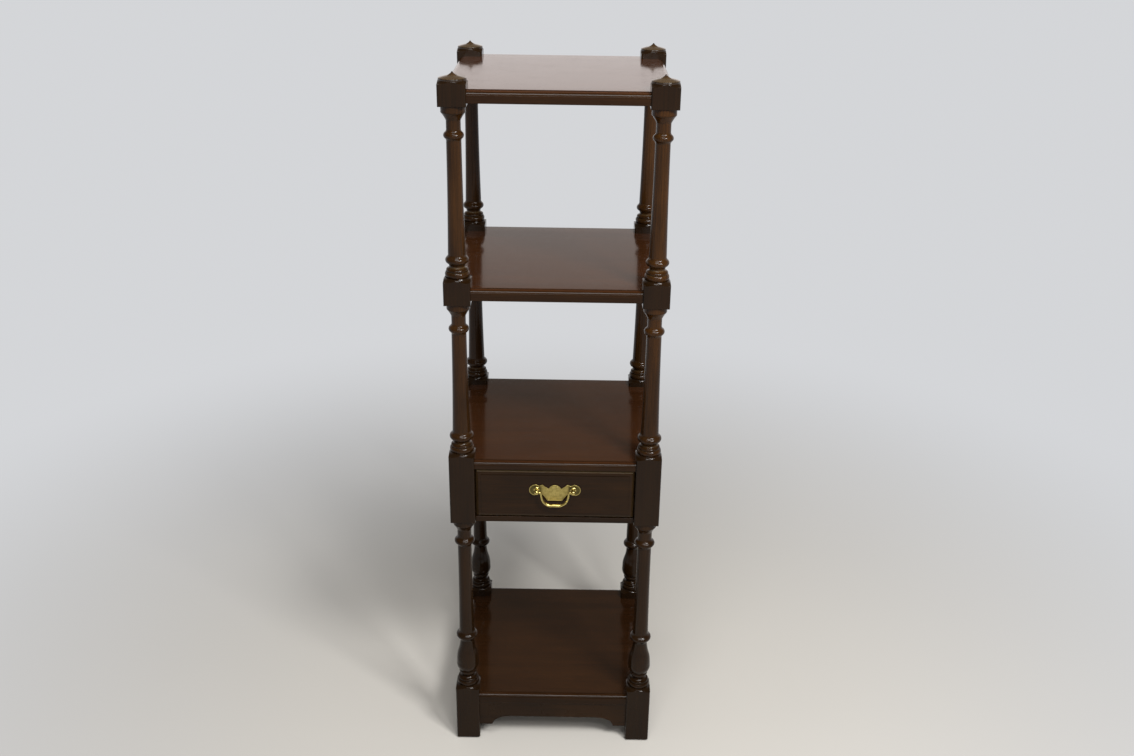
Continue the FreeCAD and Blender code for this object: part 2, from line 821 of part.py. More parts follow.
def drawer_bottom():
    """Thin bottom board in its grooves, drilled for the screws up into the back."""
    half = drawer_side_inner + drawer_groove_depth - joint_clearance
    front = drawer_front_back_y - drawer_groove_depth + joint_clearance
    board = box(-half, half, front, drawer_side_rear_y, drawer_bottom_z,
                drawer_bottom_z + drawer_bottom_thickness)
    return board.cut(bottom_screw_holes())


def drawer_bottom_screws():
    screws = []
    for place in bottom_screw_places():
        shank = rod(bottom_screw_radius, place, V(0, 0, 1), bottom_screw_length)
        head = rod(bottom_screw_head_radius, place - V(0, 0, bottom_screw_head_height),
                   V(0, 0, 1), bottom_screw_head_height)
        screws.append(joined([shank, head]))
    return Part.makeCompound(screws)


# Right half of the plate's outline below and above the line of its posts: shares of half the
# plate's width across, and of its rise or its drop up and down
crest_top_shares = (0.0, 0.90)
crest_side_shares = (0.155, 0.70)
notch_shares = (0.235, 0.22)
brow_dip_shares = (0.35, 0.52)
brow_shares = (0.48, 0.98)
waist_shares = (0.50, -0.40)
flank_shares = (0.415, -0.60)
plate_foot_shares = (0.29, -1.0)


def plate_point(shares, sign):
    across, up = shares
    height = plate_rise if up > 0 else plate_drop
    return V(sign * across * plate_width / 2, 0, up * height)


def pull_plate():
    """Back plate with a round lobe at each post, a crest above and a flat foot below."""
    lobe_x = plate_width / 2 - plate_lobe_radius
    turn = math.radians(plate_lobe_turn)

    def half(sign):
        points = [plate_point(shares, sign) for shares in (
            crest_top_shares, crest_side_shares, notch_shares, brow_dip_shares, brow_shares,
            waist_shares, flank_shares, plate_foot_shares)]
        crest, crest_side, notch, dip, brow, waist, flank, foot = points
        lobe_top, outer, lobe_bottom = [
            V(sign * (lobe_x + plate_lobe_radius * math.cos(angle)), 0,
              plate_lobe_radius * math.sin(angle)) for angle in (turn, 0, -turn)]
        return [
            Part.Arc(crest, crest_side, notch).toShape(),
            Part.Arc(notch, dip, brow).toShape(),
            Part.LineSegment(brow, lobe_top).toShape(),
            Part.Arc(lobe_top, outer, lobe_bottom).toShape(),
            Part.LineSegment(lobe_bottom, waist).toShape(),
            Part.Arc(waist, flank, foot).toShape(),
        ]

    foot_line = Part.LineSegment(plate_point(plate_foot_shares, -1),
                                 plate_point(plate_foot_shares, 1)).toShape()
    edges = half(1) + [foot_line] + list(reversed(half(-1)))
    wire = Part.Wire(Part.__sortEdges__(edges))
    plate = Part.Face(wire).extrude(V(0, -plate_thickness, 0))
    plate.translate(V(0, drawer_face_y, pull_z))
    holes = [rod(pull_post_stud_radius + joint_clearance,
                 V(sign * pull_x, drawer_face_y - plate_thickness - overrun, pull_z),
                 V(0, 1, 0), plate_thickness + overrun + overrun) for sign in (-1, 1)]
    return plate.cut(holes)


def pull_post():
    """Right post of the pull: flange, neck, round head and a stud through the drawer front."""
    head_centre = pull_post_projection
    stud = plate_thickness + drawer_front_thickness + pull_nut_height + pull_stud_overhang
    outline = Outline(pull_post_stud_radius, -stud)
    outline.line(pull_post_stud_radius, 0)
    outline.line(pull_post_flange_radius, 0)
    outline.nose(pull_post_neck_radius, pull_post_flange_height,
                 pull_post_flange_height / 4)
    half_chord = math.sqrt(pull_post_head_radius ** 2 - pull_post_neck_radius ** 2)
    outline.line(pull_post_neck_radius, head_centre - half_chord)
    start = outline.here
    outline.edges.append(Part.Arc(start, V(pull_post_head_radius, 0, head_centre),
                                  V(0, 0, head_centre + pull_post_head_radius)).toShape())
    outline.here = V(0, 0, head_centre + pull_post_head_radius)
    turned = outline.solid()
    turned.rotate(V(0, 0, 0), V(1, 0, 0), 90)
    turned.translate(V(pull_x, plate_face_y, pull_z))
    bore = rod(bail_end_radius + pin_clearance, V(pull_x - pull_post_head_radius - overrun,
                                                  pivot_y, pull_z), V(1, 0, 0),
               overrun + pull_post_head_radius + bail_bore_past_centre)
    return turned.cut(bore)


def pull_posts():
    right = pull_post()
    return Part.makeCompound([right, mirrored_x(right)])


def pull_nuts():
    """Two hexagon nuts behind the drawer front."""
    corner = pull_nut_width / math.sqrt(3)
    nuts = []
    for sign in (-1, 1):
        points = []
        for index in range(pull_nut_sides + 1):
            angle = math.tau * index / pull_nut_sides
            points.append(V(sign * pull_x + corner * math.cos(angle), drawer_front_back_y,
                            pull_z + corner * math.sin(angle)))
        nut = Part.Face(Part.makePolygon(points)).extrude(V(0, pull_nut_height, 0))
        hole = rod(pull_post_stud_radius + dowel_clearance,
                   V(sign * pull_x, drawer_front_back_y - overrun, pull_z), V(0, 1, 0),
                   pull_nut_height + overrun + overrun)
        nuts.append(nut.cut(hole))
    return Part.makeCompound(nuts)


def circle_section(radius, centre, direction):
    return Part.Wire(Part.Circle(centre, direction, radius).toShape())


def pull_bail():
    """Swinging bail: pins in the post heads, sides drawn in, thick in the middle."""
    pin_end = pull_x + bail_bore_past_centre - bail_end_gap
    bend = bail_bend_radius
    top = V(bail_half_width + bend, 0, 0)
    side = V(bail_half_width, 0, -bend)
    bend_middle = V(bail_half_width + bend - bend * math.sqrt(2) / 2, 0,
                    -bend + bend * math.sqrt(2) / 2)
    flank = V(bail_half_width * bail_side_width_share, 0, -bail_drop * bail_side_drop_share)
    corner = V(bail_half_width * bail_corner_width_share, 0,
               -bail_drop * bail_corner_drop_share)
    foot = V(bail_half_width * bail_foot_share, 0, -bail_drop)
    middle = V(0, 0, -bail_drop)
    curve = Part.BSplineCurve()
    curve.interpolate([side, flank, corner, foot, middle],
                      InitialTangent=V(0, 0, -1), FinalTangent=V(-1, 0, 0))
    path = Part.Wire([Part.LineSegment(V(pin_end, 0, 0), top).toShape(),
                      Part.Arc(top, bend_middle, side).toShape(), curve.toShape()])
    sections = [circle_section(bail_end_radius, V(pin_end, 0, 0), V(-1, 0, 0)),
                circle_section(bail_end_radius, side, V(0, 0, -1)),
                circle_section(bail_middle_radius, middle, V(-1, 0, 0))]
    half = path.makePipeShell(sections, True, False)
    bail = joined([half, mirrored_x(half)])
    bail.translate(V(0, pivot_y, pull_z))
    return bail


def mirrored_pair(left_name, right_name, right):
    return {right_name: right, left_name: mirrored_x(right)}


def build():
    """Every node by name."""
    back_post = post(case_back_tenon)
    front_post = mirrored_y(post(rail_tenon))
    button = finial()
    nodes = {}
    nodes.update(mirrored_pair("back_left_post", "back_right_post", back_post))
    nodes.update(mirrored_pair("front_left_post", "front_right_post", front_post))
    nodes.update(mirrored_pair("back_left_finial", "back_right_finial", button))
    nodes.update(mirrored_pair("front_left_finial", "front_right_finial", mirrored_y(button)))
    for name, (top, thickness) in shelves.items():
        nodes[name + "_shelf"] = shelf(top, thickness)
        nodes[name + "_shelf_dowels"] = shelf_dowels(top, thickness)
    back_apron = end_apron()
    nodes["back_apron"] = back_apron
    nodes["front_apron"] = mirrored_y(back_apron)
    nodes.update(mirrored_pair("left_apron", "right_apron", side_apron()))
    nodes["apron_glue_blocks"] = glue_blocks()
    nodes.update(mirrored_pair("left_case_side", "right_case_side", case_side()))
    nodes["case_back"] = case_back()
    nodes["drawer_rail"] = drawer_rail()
    nodes.update(mirrored_pair("left_runner", "right_runner", runner()))
    nodes.update(mirrored_pair("left_drawer_guide", "right_drawer_guide", guide()))
    nodes["drawer_stops"] = drawer_stops()
    nodes["drawer_front"] = drawer_front()
    nodes.update(mirrored_pair("drawer_left_side", "drawer_right_side", drawer_side()))
    nodes["drawer_back"] = drawer_back()
    nodes["drawer_bottom"] = drawer_bottom()
    nodes["drawer_bottom_screws"] = drawer_bottom_screws()
    nodes["pull_plate"] = pull_plate()
    nodes["pull_posts"] = pull_posts()
    nodes["pull_nuts"] = pull_nuts()
    nodes["pull_bail"] = pull_bail()
    return nodes


def main():
    os.makedirs("parts", exist_ok=True)
    for name, shape in build().items():
        shape.exportStep("parts/" + name + ".step")
        bounds = shape.BoundBox
        print(name, len(shape.Solids), shape.isValid(), round(shape.Volume, 1),
              [round(value, 1) for value in (bounds.XMin, bounds.XMax, bounds.YMin, bounds.YMax,
                                             bounds.ZMin, bounds.ZMax)])


main()
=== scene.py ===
import math

import bmesh
import bpy
from bpy.props import FloatProperty, FloatVectorProperty, IntProperty, PointerProperty
from bpy.types import Operator, Panel, PropertyGroup
from mathutils import Matrix, Vector
from mathutils.geometry import interpolate_bezier


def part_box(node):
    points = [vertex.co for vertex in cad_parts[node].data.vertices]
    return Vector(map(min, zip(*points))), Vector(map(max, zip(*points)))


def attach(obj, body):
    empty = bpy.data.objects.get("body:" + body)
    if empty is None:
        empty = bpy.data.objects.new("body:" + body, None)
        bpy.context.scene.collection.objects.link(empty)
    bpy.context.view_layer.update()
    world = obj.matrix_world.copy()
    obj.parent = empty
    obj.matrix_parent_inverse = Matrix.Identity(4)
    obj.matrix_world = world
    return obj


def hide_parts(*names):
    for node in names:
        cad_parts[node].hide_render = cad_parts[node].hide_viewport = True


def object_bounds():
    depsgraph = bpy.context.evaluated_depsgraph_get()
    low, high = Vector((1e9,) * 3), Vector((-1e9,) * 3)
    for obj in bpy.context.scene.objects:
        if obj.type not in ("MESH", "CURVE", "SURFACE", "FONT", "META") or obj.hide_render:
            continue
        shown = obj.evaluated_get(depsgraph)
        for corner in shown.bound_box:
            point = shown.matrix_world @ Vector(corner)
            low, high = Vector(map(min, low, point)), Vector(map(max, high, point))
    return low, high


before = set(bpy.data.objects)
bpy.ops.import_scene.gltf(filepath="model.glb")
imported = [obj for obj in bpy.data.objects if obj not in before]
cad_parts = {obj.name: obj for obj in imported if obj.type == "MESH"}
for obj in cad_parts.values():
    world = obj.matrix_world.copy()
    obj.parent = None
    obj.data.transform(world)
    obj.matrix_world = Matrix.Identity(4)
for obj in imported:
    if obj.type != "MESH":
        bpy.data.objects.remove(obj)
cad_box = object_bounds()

# Looks of a square display stand of dark mahogany: four turned posts, four moulded shelves, one
# drawer with a brass bail pull. Metres, +Z up, front towards -Y, as in the frame.

bl_info = {
    "name": "Turned Display Stand",
    "version": (1, 0, 0),
    "blender": (4, 5, 0),
    "location": "3D View > Sidebar > Stand",
    "description": "Turned posts, moulded shelves, drawer and brass pull of a mahogany stand",
    "category": "Object",
}

MM = 0.001
MERGE_DISTANCE = 0.01 * MM
CREASE_ANGLE = math.radians(35.0)
ARRIS_STEPS = 5
VASE_STEPS = (16, 14, 14)
CURVATURE_REACH = 1.5 * MM
CURVATURE_PASSES = 3
CURVATURE_LAYER = "curvature"
TURNED_LAYER = "turned"
X, Y, Z = 0, 1, 2
WHITE = (1.0, 1.0, 1.0)

CORNERS = ("front_left", "front_right", "back_left", "back_right")
SHELVES = ("top", "second", "third", "bottom")
# Handles of the curve at each end of an apron's arch, as shares of its run and rise
ARCH_SHARES = ((0.0, 0.0), (0.05, 0.60), (0.26, 0.90), (1.0, 1.0))
RADII = "Neck, bead, column top, column foot, foot bead, pinch and base"


def length(name, millimetres, description):
    """Property of one length."""
    return FloatProperty(name=name, description=description, default=millimetres * MM,
                         unit="LENGTH", precision=4)


def lengths(name, millimetres, description):
    """Property of several lengths of one kind."""
    return FloatVectorProperty(name=name, description=description, size=len(millimetres),
                               default=[value * MM for value in millimetres],
                               unit="LENGTH", precision=4)


def shares(name, defaults, description):
    """Property of several plain shares."""
    return FloatVectorProperty(name=name, description=description, size=len(defaults),
                               default=defaults)


def maker(kind, **settings):
    """Gives a function that makes properties of one kind from name, default and description."""
    def make(name, default, description):
        return kind(name=name, default=default, description=description, **settings)
    return make


share = maker(FloatProperty, subtype="FACTOR", soft_min=-1.0, soft_max=1.0)
angle = maker(FloatProperty, subtype="ANGLE", precision=4)
power = maker(FloatProperty, unit="POWER")
pixels = maker(FloatProperty, min=1.0)
colour = maker(FloatVectorProperty, size=3, subtype="COLOR", min=0.0, max=1.0)
count = maker(IntProperty, min=1)


class StandPosts(PropertyGroup):
    """Sizes of the corner posts, with their blocks and turnings."""

    blocks: lengths("Blocks", (121.9, 135.8, 44.8), "Heights of foot, case and second block")
    turnings: lengths("Turnings", (359.3, 272.3, 275.7), "Lower, middle and upper turned length")
    arris: length("Arris", 3.4, "Rounding of a block's upright corners")
    foot_chamfer: length("Foot chamfer", 3.2, "Chamfer round the sole of the foot")
    under_arris: length("Lower edge", 0.5, "Easing of a block's lower edge")
    shoulder_radius: length("Shoulder radius", 20.2, "Where the turned shoulder starts")
    shoulder_drop: length("Shoulder drop", 5.4, "How far the shoulder falls to the corners")
    top_shoulder: lengths("Top shoulder", (22.0, 4.0), "Radius and drop of the top block's own")
    shoulder_share: share("Shoulder cove", -0.2, "Depth of the shoulder's cove")
    shoulder_steps: count("Shoulder steps", 24, "Divisions of the shoulder's cove")
    rings: count("Rings", 7, "Rows of faces down a block's shoulder")
    spokes: count("Spokes", 24, "Cuts across a block's shoulder")
    cup_radius: length("Cup radius", 19.4, "Cup under a block")
    cup_wall: length("Cup wall", 9.0, "Upright wall of the cup")
    cup_round: length("Cup rounding", 1.1, "How far the cup's lower lip draws in")
    cup_round_height: length("Cup lip", 3.4, "Height of the cup's lower lip")
    cup_height: length("Cup height", 23.5, "Cup with its taper")
    neck_height: length("Neck height", 12.5, "Plain neck under the cup")
    bead_length: length("Bead length", 21.0, "Bead under the neck with its coves")
    nose_height: length("Bead nose", 8.6, "Height of a bead's rounded nose")
    nose_depth: length("Nose depth", 1.9, "How far a bead's nose stands out")
    base_height: length("Base height", 9.0, "Base moulding on a block")
    base_bulge: length("Base bulge", 1.9, "How far the base moulding rounds out")
    base_groove: length("Base groove", 2.2, "Step between base moulding and ring")
    ring_height: length("Ring height", 4.8, "Ring over the base moulding")
    ring_bulge: length("Ring bulge", 1.1, "How far the ring rounds out")
    pinch_height: length("Pinch height", 2.8, "Cove over the ring")
    foot_bead: length("Foot bead", 23.0, "Bead at the foot of a column with its coves")
    upper_radii: lengths("Upper radii", (11.5, 16.2, 11.9, 14.5, 19.0, 12.9, 20.2), RADII)
    middle_radii: lengths("Middle radii", (12.0, 17.1, 12.5, 15.5, 20.8, 14.0, 20.9), RADII)
    lower_radii: lengths("Lower radii", (12.4, 17.9, 12.4, 14.1, 19.6, 12.5, 20.7), RADII)
    vase_radii: lengths("Vase radii", (16.4, 15.6, 20.5, 17.2, 13.1),
                        "Ring, foot, belly, shoulder and neck of the vase")
    vase_heights: lengths("Vase heights", (6.6, 6.4, 18.5, 24.0, 24.5),
                          "Foot cove, ring, belly, shoulder and neck of the vase")
    cove_share: share("Cove", -0.14, "Depth of a bead's coves")
    pinch_share: share("Pinch cove", -0.10, "Depth of the cove over the ring")
    column_share: share("Column", -0.003, "How far a column stands off a straight taper")
    cup_share: share("Cup taper", -0.03, "How far the cup's taper stands off a straight one")
    vase_shares: shares("Vase curves", (0.11, 0.042, -0.035),
                        "How far belly, shoulder and neck of the vase bow out")
    embed: length("Embedding", 1.5, "How far a turning runs on inside a block")
    sides: count("Sides", 72, "Faces round a turning")


class StandFinials(PropertyGroup):
    """Sizes of the turned buttons on the posts."""

    radius: length("Radius", 21.8, "Radius of the button")
    edge_height: length("Edge height", 3.0, "Upright edge of the button")
    edge_round: length("Edge rounding", 1.0, "Rounding of that edge")
    crown_radius: length("Crown radius", 8.3, "Where the spire starts")
    crown_height: length("Crown height", 6.2, "Height where the spire starts")
    height: length("Height", 12.0, "Height of the whole button")
    tip_radius: length("Tip radius", 1.8, "Worn round tip of the spire")
    skirt_share: share("Skirt", 0.02, "How far the skirt bows out")
    spire_share: share("Spire", -0.04, "How far the spire bows in")
    tip_share: share("Tip", 0.2, "How far the round tip stands off its chord")
    sides: count("Sides", 64, "Faces round a button")


class StandBoards(PropertyGroup):
    """Sizes of the shelves, aprons and case boards."""

    moulding_width: length("Moulding width", 8.5, "Width of a shelf's thumbnail moulding")
    quirk: length("Quirk", 1.5, "Step between a shelf's field and its moulding")
    round_size: length("Moulding round", 8.0, "Radius of the shelf's rounded edge")
    under_round: length("Lower edge", 1.2, "Rounding of the shelf's lower edge")
    quirk_ease: length("Quirk easing", 0.8, "Easing of the edge over the quirk")
    board_ease: length("Board easing", 0.8, "Easing of a plain board's edges")
    apron_gap: length("Apron gap", 30.0, "Floor to the foot of an apron")
    arch_rise: length("Arch rise", 19.5, "Rise of an apron's arch")
    arch_end: length("Arch end", 24.0, "Flat foot at each end of an apron")
    arch_curve: length("Arch curve", 38.0, "Curved run at each end of an arch")
    curve_steps: count("Curve steps", 18, "Divisions of each curve of an arch")


class StandPull(PropertyGroup):
    """Sizes of the brass back plate."""

    lobe_radius: length("Lobe radius", 10.4, "Round lobe at each end of the plate")
    lobe_turn: angle("Lobe turn", math.radians(128.0), "Where the edges leave a lobe")
    rise: length("Rise", 10.9, "Plate above the line of its posts")
    drop: length("Drop", 20.8, "Plate below the line of its posts")
    rim_width: length("Rim width", 1.0, "Raised rim round the plate")
    rim_height: length("Rim height", 0.45, "How far the rim stands above the field")
    rim_ease: length("Rim easing", 0.3, "Rounding of the rim")
    curve_steps: count("Curve steps", 12, "Divisions of each curve of the outline")


class StandFinish(PropertyGroup):
    """Colours of the woods and metals."""

    # Dark mahogany also serves as painted shade low down on the posts and, with stain gathered
    # there, in their grooves.
    mahogany_dark: colour("Dark mahogany", (0.0070, 0.0034, 0.0013), "Stain in the hollows")
    mahogany_mid: colour("Mahogany", (0.0160, 0.0074, 0.0022), "Body of the stain")
    mahogany_warm: colour("Warm mahogany", (0.070, 0.0265, 0.0055), "Turned wood and streaks")
    mahogany_red: colour("Red mahogany", (0.026, 0.0095, 0.0024), "Reddish streaks")
    # Painted light: the paler colour of lit upper faces, and each shelf's share of it, smaller on
    # the lower shelves that lie in painted shade.
    mahogany_lit_top: colour("Lit mahogany", (0.125, 0.0400, 0.015), "Upper faces of the shelves")
    shelf_lighting: shares("Lighting", (0.56, 0.38, 0.30, 0.12), "Fading of each shelf, the top one first")
    polish: shares("Polish", (0.56, 0.44, 0.34, 0.50), "Polish of each shelf, the top one first")
    # Pale mahogany also serves as painted light: a highlight on the posts' crests along with
    # their wear, a highlight on the drawer front's moulding, and a reflection on the finials'
    # upper faces.
    mahogany_pale: colour("Pale mahogany", (0.125, 0.084, 0.038), "Finials and rubbed ridges")
    oak: colour("Oak", (0.36, 0.22, 0.11), "Drawer lining")
    oak_dark: colour("Dark oak", (0.20, 0.11, 0.05), "Grain of the drawer lining")
    pine: colour("Pine", (0.42, 0.27, 0.13), "Hidden blocks and runners")
    pine_dark: colour("Dark pine", (0.26, 0.14, 0.06), "Grain of the hidden blocks")
    brass: colour("Brass", (0.54, 0.435, 0.15), "Polished brass")
    brass_dark: colour("Tarnished brass", (0.16, 0.125, 0.028), "Brass in the hollows")
    brass_shade: colour("Shaded brass", (0.055, 0.045, 0.018), "Lobes of the back plate")
    steel: colour("Steel", (0.42, 0.41, 0.40), "Screws")
    steel_dark: colour("Dull steel", (0.21, 0.205, 0.20), "Machining marks")


class StandStage(PropertyGroup):
    """Camera, floor and lamps."""

    camera_place: lengths("Camera place", (24.41, -1953.88, 1556.56), "Where the camera stands")
    camera_pitch: angle("Camera pitch", 0.420407, "Tilt downwards")
    camera_yaw: angle("Camera yaw", 0.003381, "Turn to the left")
    camera_roll: angle("Camera roll", 0.013858, "Roll of the camera")
    focal_length: pixels("Focal length", 1164.796, "Focal length in image pixels")
    image_width: pixels("Image width", 1134.0, "Width of the image in pixels")
    floor_half: length("Floor reach", 15000.0, "Half width of the floor")
    floor: colour("Floor", (0.63, 0.60, 0.55), "Pale floor")
    floor_cloud: colour("Floor clouds", (0.5985, 0.57, 0.5225), "Slightly darker clouds")
    backdrop: colour("Backdrop", (1.0, 0.93, 0.905), "Pale wall that the polish mirrors")
    room: colour("Room", (0.21, 0.17, 0.135), "Dim part of what the polish mirrors")
    far_floor: colour("Far floor", (0.66, 0.67, 0.69), "Floor away from the stand")
    surround_light: share("Surround", 0.28, "Light that the surroundings give")
    key_power: power("Key", 55.0, "Lamp at the front right")
    ceiling_power: power("Ceiling", 32.0, "Wide lamp overhead")
    flash_power: power("Flash", 10.0, "Small lamp to the right of the camera")
    front_power: power("Front", 7.0, "Wide lamp behind the camera")


class Outline:
    """Half outline of a turned piece, drawn from point to point as radius and height."""

    def __init__(self, radius, height):
        self.points = [Vector((radius, height))]

    def line(self, radius, height):
        self.points.append(Vector((radius, height)))

    def bow(self, radius, height, bow_share, steps=8):
        """Arc whose middle stands off its chord, outwards if the share is positive."""
        self.points += arc_points(self.points[-1], Vector((radius, height)), bow_share, steps)

    def taper(self, radius, height, bow_share, steps=14):
        """Long, nearly straight curve whose middle stands off its chord by a share of it."""
        start = self.points[-1]
        end = Vector((radius, height))
        side = Vector((end.y - start.y, start.x - end.x))
        for step in range(1, steps + 1):
            along = step / steps
            off = 4 * bow_share * along * (1 - along)
            self.points.append(start.lerp(end, along) + side * off)

    def nose(self, radius, height, depth, steps=10):
        """Rounded nose that stands out by a depth."""
        chord = Vector((radius, height)) - self.points[-1]
        self.bow(radius, height, depth / chord.length, steps)

    def spin(self, bm, centre, sides):
        """Turns the outline about an upright axis into a closed shell, marked as turned."""
        layers = bm.verts.layers.float
        turned = layers.get(TURNED_LAYER) or layers.new(TURNED_LAYER)
        before = set(bm.verts)
        verts = [bm.verts.new((point.x, 0.0, point.y)) for point in self.points]
        edges = [bm.edges.new(pair) for pair in zip(verts, verts[1:])]
        bmesh.ops.spin(bm, geom=verts + edges, cent=(0, 0, 0), axis=(0, 0, 1),
                       angle=math.tau, steps=sides, use_merge=True)
        made = [vert for vert in bm.verts if vert not in before]
        bmesh.ops.remove_doubles(bm, verts=made, dist=MERGE_DISTANCE)
        made = [vert for vert in bm.verts if vert not in before]
        bmesh.ops.translate(bm, verts=made, vec=(centre.x, centre.y, 0.0))
        for vert in made:
            vert[turned] = 1.0


def arc_points(start, end, bow_share, steps):
    """Points of a flat arc after its start, bowed to the right of its way if positive."""
    chord = end - start
    side = Vector((chord.y, -chord.x)).normalized()
    turn = 4 * math.atan(2 * bow_share)
    radius = chord.length / (2 * math.sin(turn / 2))
    points = []
    for step in range(1, steps + 1):
        around = turn * (step / steps - 0.5)
        along = chord.normalized() * (chord.length / 2 + radius * math.sin(around))
        off = side * radius * (math.cos(around) - math.cos(turn / 2))
        points.append(start + along + off)
    return points


def arc_through(start, middle, end, steps):
    """Points of a flat arc after its start, through a middle point."""
    chord = end - start
    side = Vector((chord.y, -chord.x)).normalized()
    sag = (middle - start).dot(side)
    along = (middle - start).dot(chord.normalized())
    half = chord.length / 2
    # Distance of the circle's centre from the chord, from its three points
    offset = (sag * sag + along * along - chord.length * along) / (2 * sag)
    radius = math.hypot(half, offset)
    rise = offset + math.copysign(radius, sag)
    return arc_points(start, end, rise / chord.length, steps)


def box_mesh(lo, hi):
    """New mesh of a box between two corners."""
    bm = bmesh.new()
    size = hi - lo
    matrix = Matrix.Translation((lo + hi) / 2) @ Matrix.Diagonal((*size, 1.0))
    bmesh.ops.create_cube(bm, size=1.0, matrix=matrix)
    return bm


def ease(bm, edges, offset, segments=3):
    """Rounds edges."""
    bmesh.ops.bevel(bm, geom=edges, offset=offset, offset_type="OFFSET", segments=segments,
                    profile=0.5, affect="EDGES", clamp_overlap=True, material=-1)


def edges_where(bm, test):
    """Edges whose two ends both pass a test of their place."""
    return [edge for edge in bm.edges if all(test(vert.co) for vert in edge.verts)]


def near(value, target):
    return abs(value - target) < MERGE_DISTANCE


def upright(edge):
    return (edge.verts[0].co.xy - edge.verts[1].co.xy).length < MERGE_DISTANCE


def extrude(bm, faces, way):
    """Extrudes faces along a way; gives what was made."""
    made = bmesh.ops.extrude_face_region(bm, geom=faces)["geom"]
    verts = [item for item in made if isinstance(item, bmesh.types.BMVert)]
    bmesh.ops.translate(bm, verts=verts, vec=way)
    return made


def mark_curvature(bm):
    """Stores on each point how far it stands proud of its neighbours, or lies below them."""
    layer = bm.verts.layers.float.new(CURVATURE_LAYER)
    bm.normal_update()
    raw = {}
    for vert in bm.verts:
        bends = []
        for edge in vert.link_edges:
            run = edge.other_vert(vert).co - vert.co
            if run.length > MERGE_DISTANCE:
                bends.append(-run.dot(vert.normal) / run.length_squared)
        raw[vert] = max(-1.0, min(1.0, CURVATURE_REACH * sum(bends) / max(len(bends), 1)))
    for _ in range(CURVATURE_PASSES):
        raw = {vert: (value + sum(raw[edge.other_vert(vert)] for edge in vert.link_edges))
               / (1 + len(vert.link_edges)) for vert, value in raw.items()}
    for vert, value in raw.items():
        vert[layer] = value


def new_mesh(name, bm):
    """Mesh of what a bmesh holds; the bmesh is given up."""
    mesh = bpy.data.meshes.new(name)
    bm.to_mesh(mesh)
    bm.free()
    return mesh


def new_object(name, data):
    """Object in the scene."""
    made = bpy.data.objects.new(name, data)
    bpy.context.scene.collection.objects.link(made)
    return made


def make_piece(name, bm, material, body, node):
    """Closes a mesh, dresses it and sets it in the frame in place of a CAD node."""
    bmesh.ops.recalc_face_normals(bm, faces=bm.faces)
    mesh = new_mesh(name, bm)
    mesh.shade_smooth()
    mesh.set_sharp_from_angle(angle=CREASE_ANGLE)
    mesh.materials.append(material)
    piece = new_object(name, mesh)
    shading = piece.modifiers.new("Even shading", "WEIGHTED_NORMAL")
    shading.keep_sharp = True
    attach(piece, body)
    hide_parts(node)
    return piece


def dress(material, *nodes):
    """Gives a finish to CAD nodes that stay."""
    for node in nodes:
        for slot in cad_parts[node].material_slots:
            slot.material = material


class Value:
    """A shader socket that can stand in sums and products."""

    def __init__(self, graph, socket):
        self.graph = graph
        self.socket = socket

    def math(self, operation, first, second):
        return self.graph.add("ShaderNodeMath", {"operation": operation},
                              {0: first, 1: second})

    def __add__(self, other):
        return self.math("ADD", self, other)

    def __sub__(self, other):
        return self.math("SUBTRACT", self, other)

    def __rsub__(self, other):
        return self.math("SUBTRACT", other, self)

    def __mul__(self, other):
        return self.math("MULTIPLY", self, other)

    __radd__ = __add__
    __rmul__ = __mul__

    def between(self, low, high):
        """Runs smoothly from 0 at the low value to 1 at the high one."""
        return self.graph.add("ShaderNodeMapRange", {"interpolation_type": "SMOOTHSTEP"},
                              {"Value": self, "From Min": low, "From Max": high})


class Graph:
    """Nodes of one material or of the world. A colour that varies comes from mix."""

    def __init__(self, owner):
        owner.use_nodes = True
        self.tree = owner.node_tree
        self.tree.nodes.clear()

    def add(self, kind, settings=None, inputs=None, output=0):
        """Adds a node: its settings first, then its sockets' values, colours or links."""
        node = self.tree.nodes.new(kind)
        for key, setting in (settings or {}).items():
            setattr(node, key, setting)
        for key, value in (inputs or {}).items():
            socket = node.inputs[key]
            if isinstance(value, Value):
                self.tree.links.new(value.socket, socket)
            else:
                socket.default_value = (*value, 1.0) if socket.type == "RGBA" else value
        return Value(self, node.outputs[output]) if node.outputs else None

    def mix(self, factor, first, second):
        """Colour between two colours."""
        return self.add("ShaderNodeMix", {"data_type": "RGBA"},
                        {0: factor, 6: first, 7: second}, 2)

    def where(self, kind="Object"):
        """Texture coordinate of a kind."""
        return self.add("ShaderNodeTexCoord", output=kind)

    def part(self, place, axis):
        """One coordinate of a place or way."""
        return self.add("ShaderNodeSeparateXYZ", {}, {0: place}, axis)

    def stored(self, layer):
        """Value that each point of the mesh holds."""
        return self.add("ShaderNodeAttribute", {"attribute_name": layer}, {}, "Fac")

    def rays(self, *kinds):
        """1 for light paths of these kinds, else 0."""
        return sum(self.add("ShaderNodeLightPath", output=f"Is {kind} Ray") for kind in kinds)

    def noise(self, place, scale, detail=2.0, roughness=0.5, distortion=0.0):
        """Noise whose grain has its own scale along each axis."""
        mapped = self.add("ShaderNodeMapping", {}, {"Vector": place, "Scale": scale})
        return self.add("ShaderNodeTexNoise", {},
                        {"Vector": mapped, "Scale": 1.0, "Detail": detail,
                         "Roughness": roughness, "Distortion": distortion})

    def bump(self, height, strength, distance, **under):
        """Relief from a height, over another normal where one is given as Normal."""
        return self.add("ShaderNodeBump", {}, {"Height": height, "Strength": strength,
                                               "Distance": distance, **under})

    def surface(self, inputs):
        shader = self.add("ShaderNodeBsdfPrincipled", {}, inputs)
        self.add("ShaderNodeOutputMaterial", {}, {"Surface": shader})


def grain(axis, across, run):
    """Scale of a grain that runs along an axis: across it and along it, per metre."""
    scale = [across, across, across]
    scale[axis] = run
    return scale


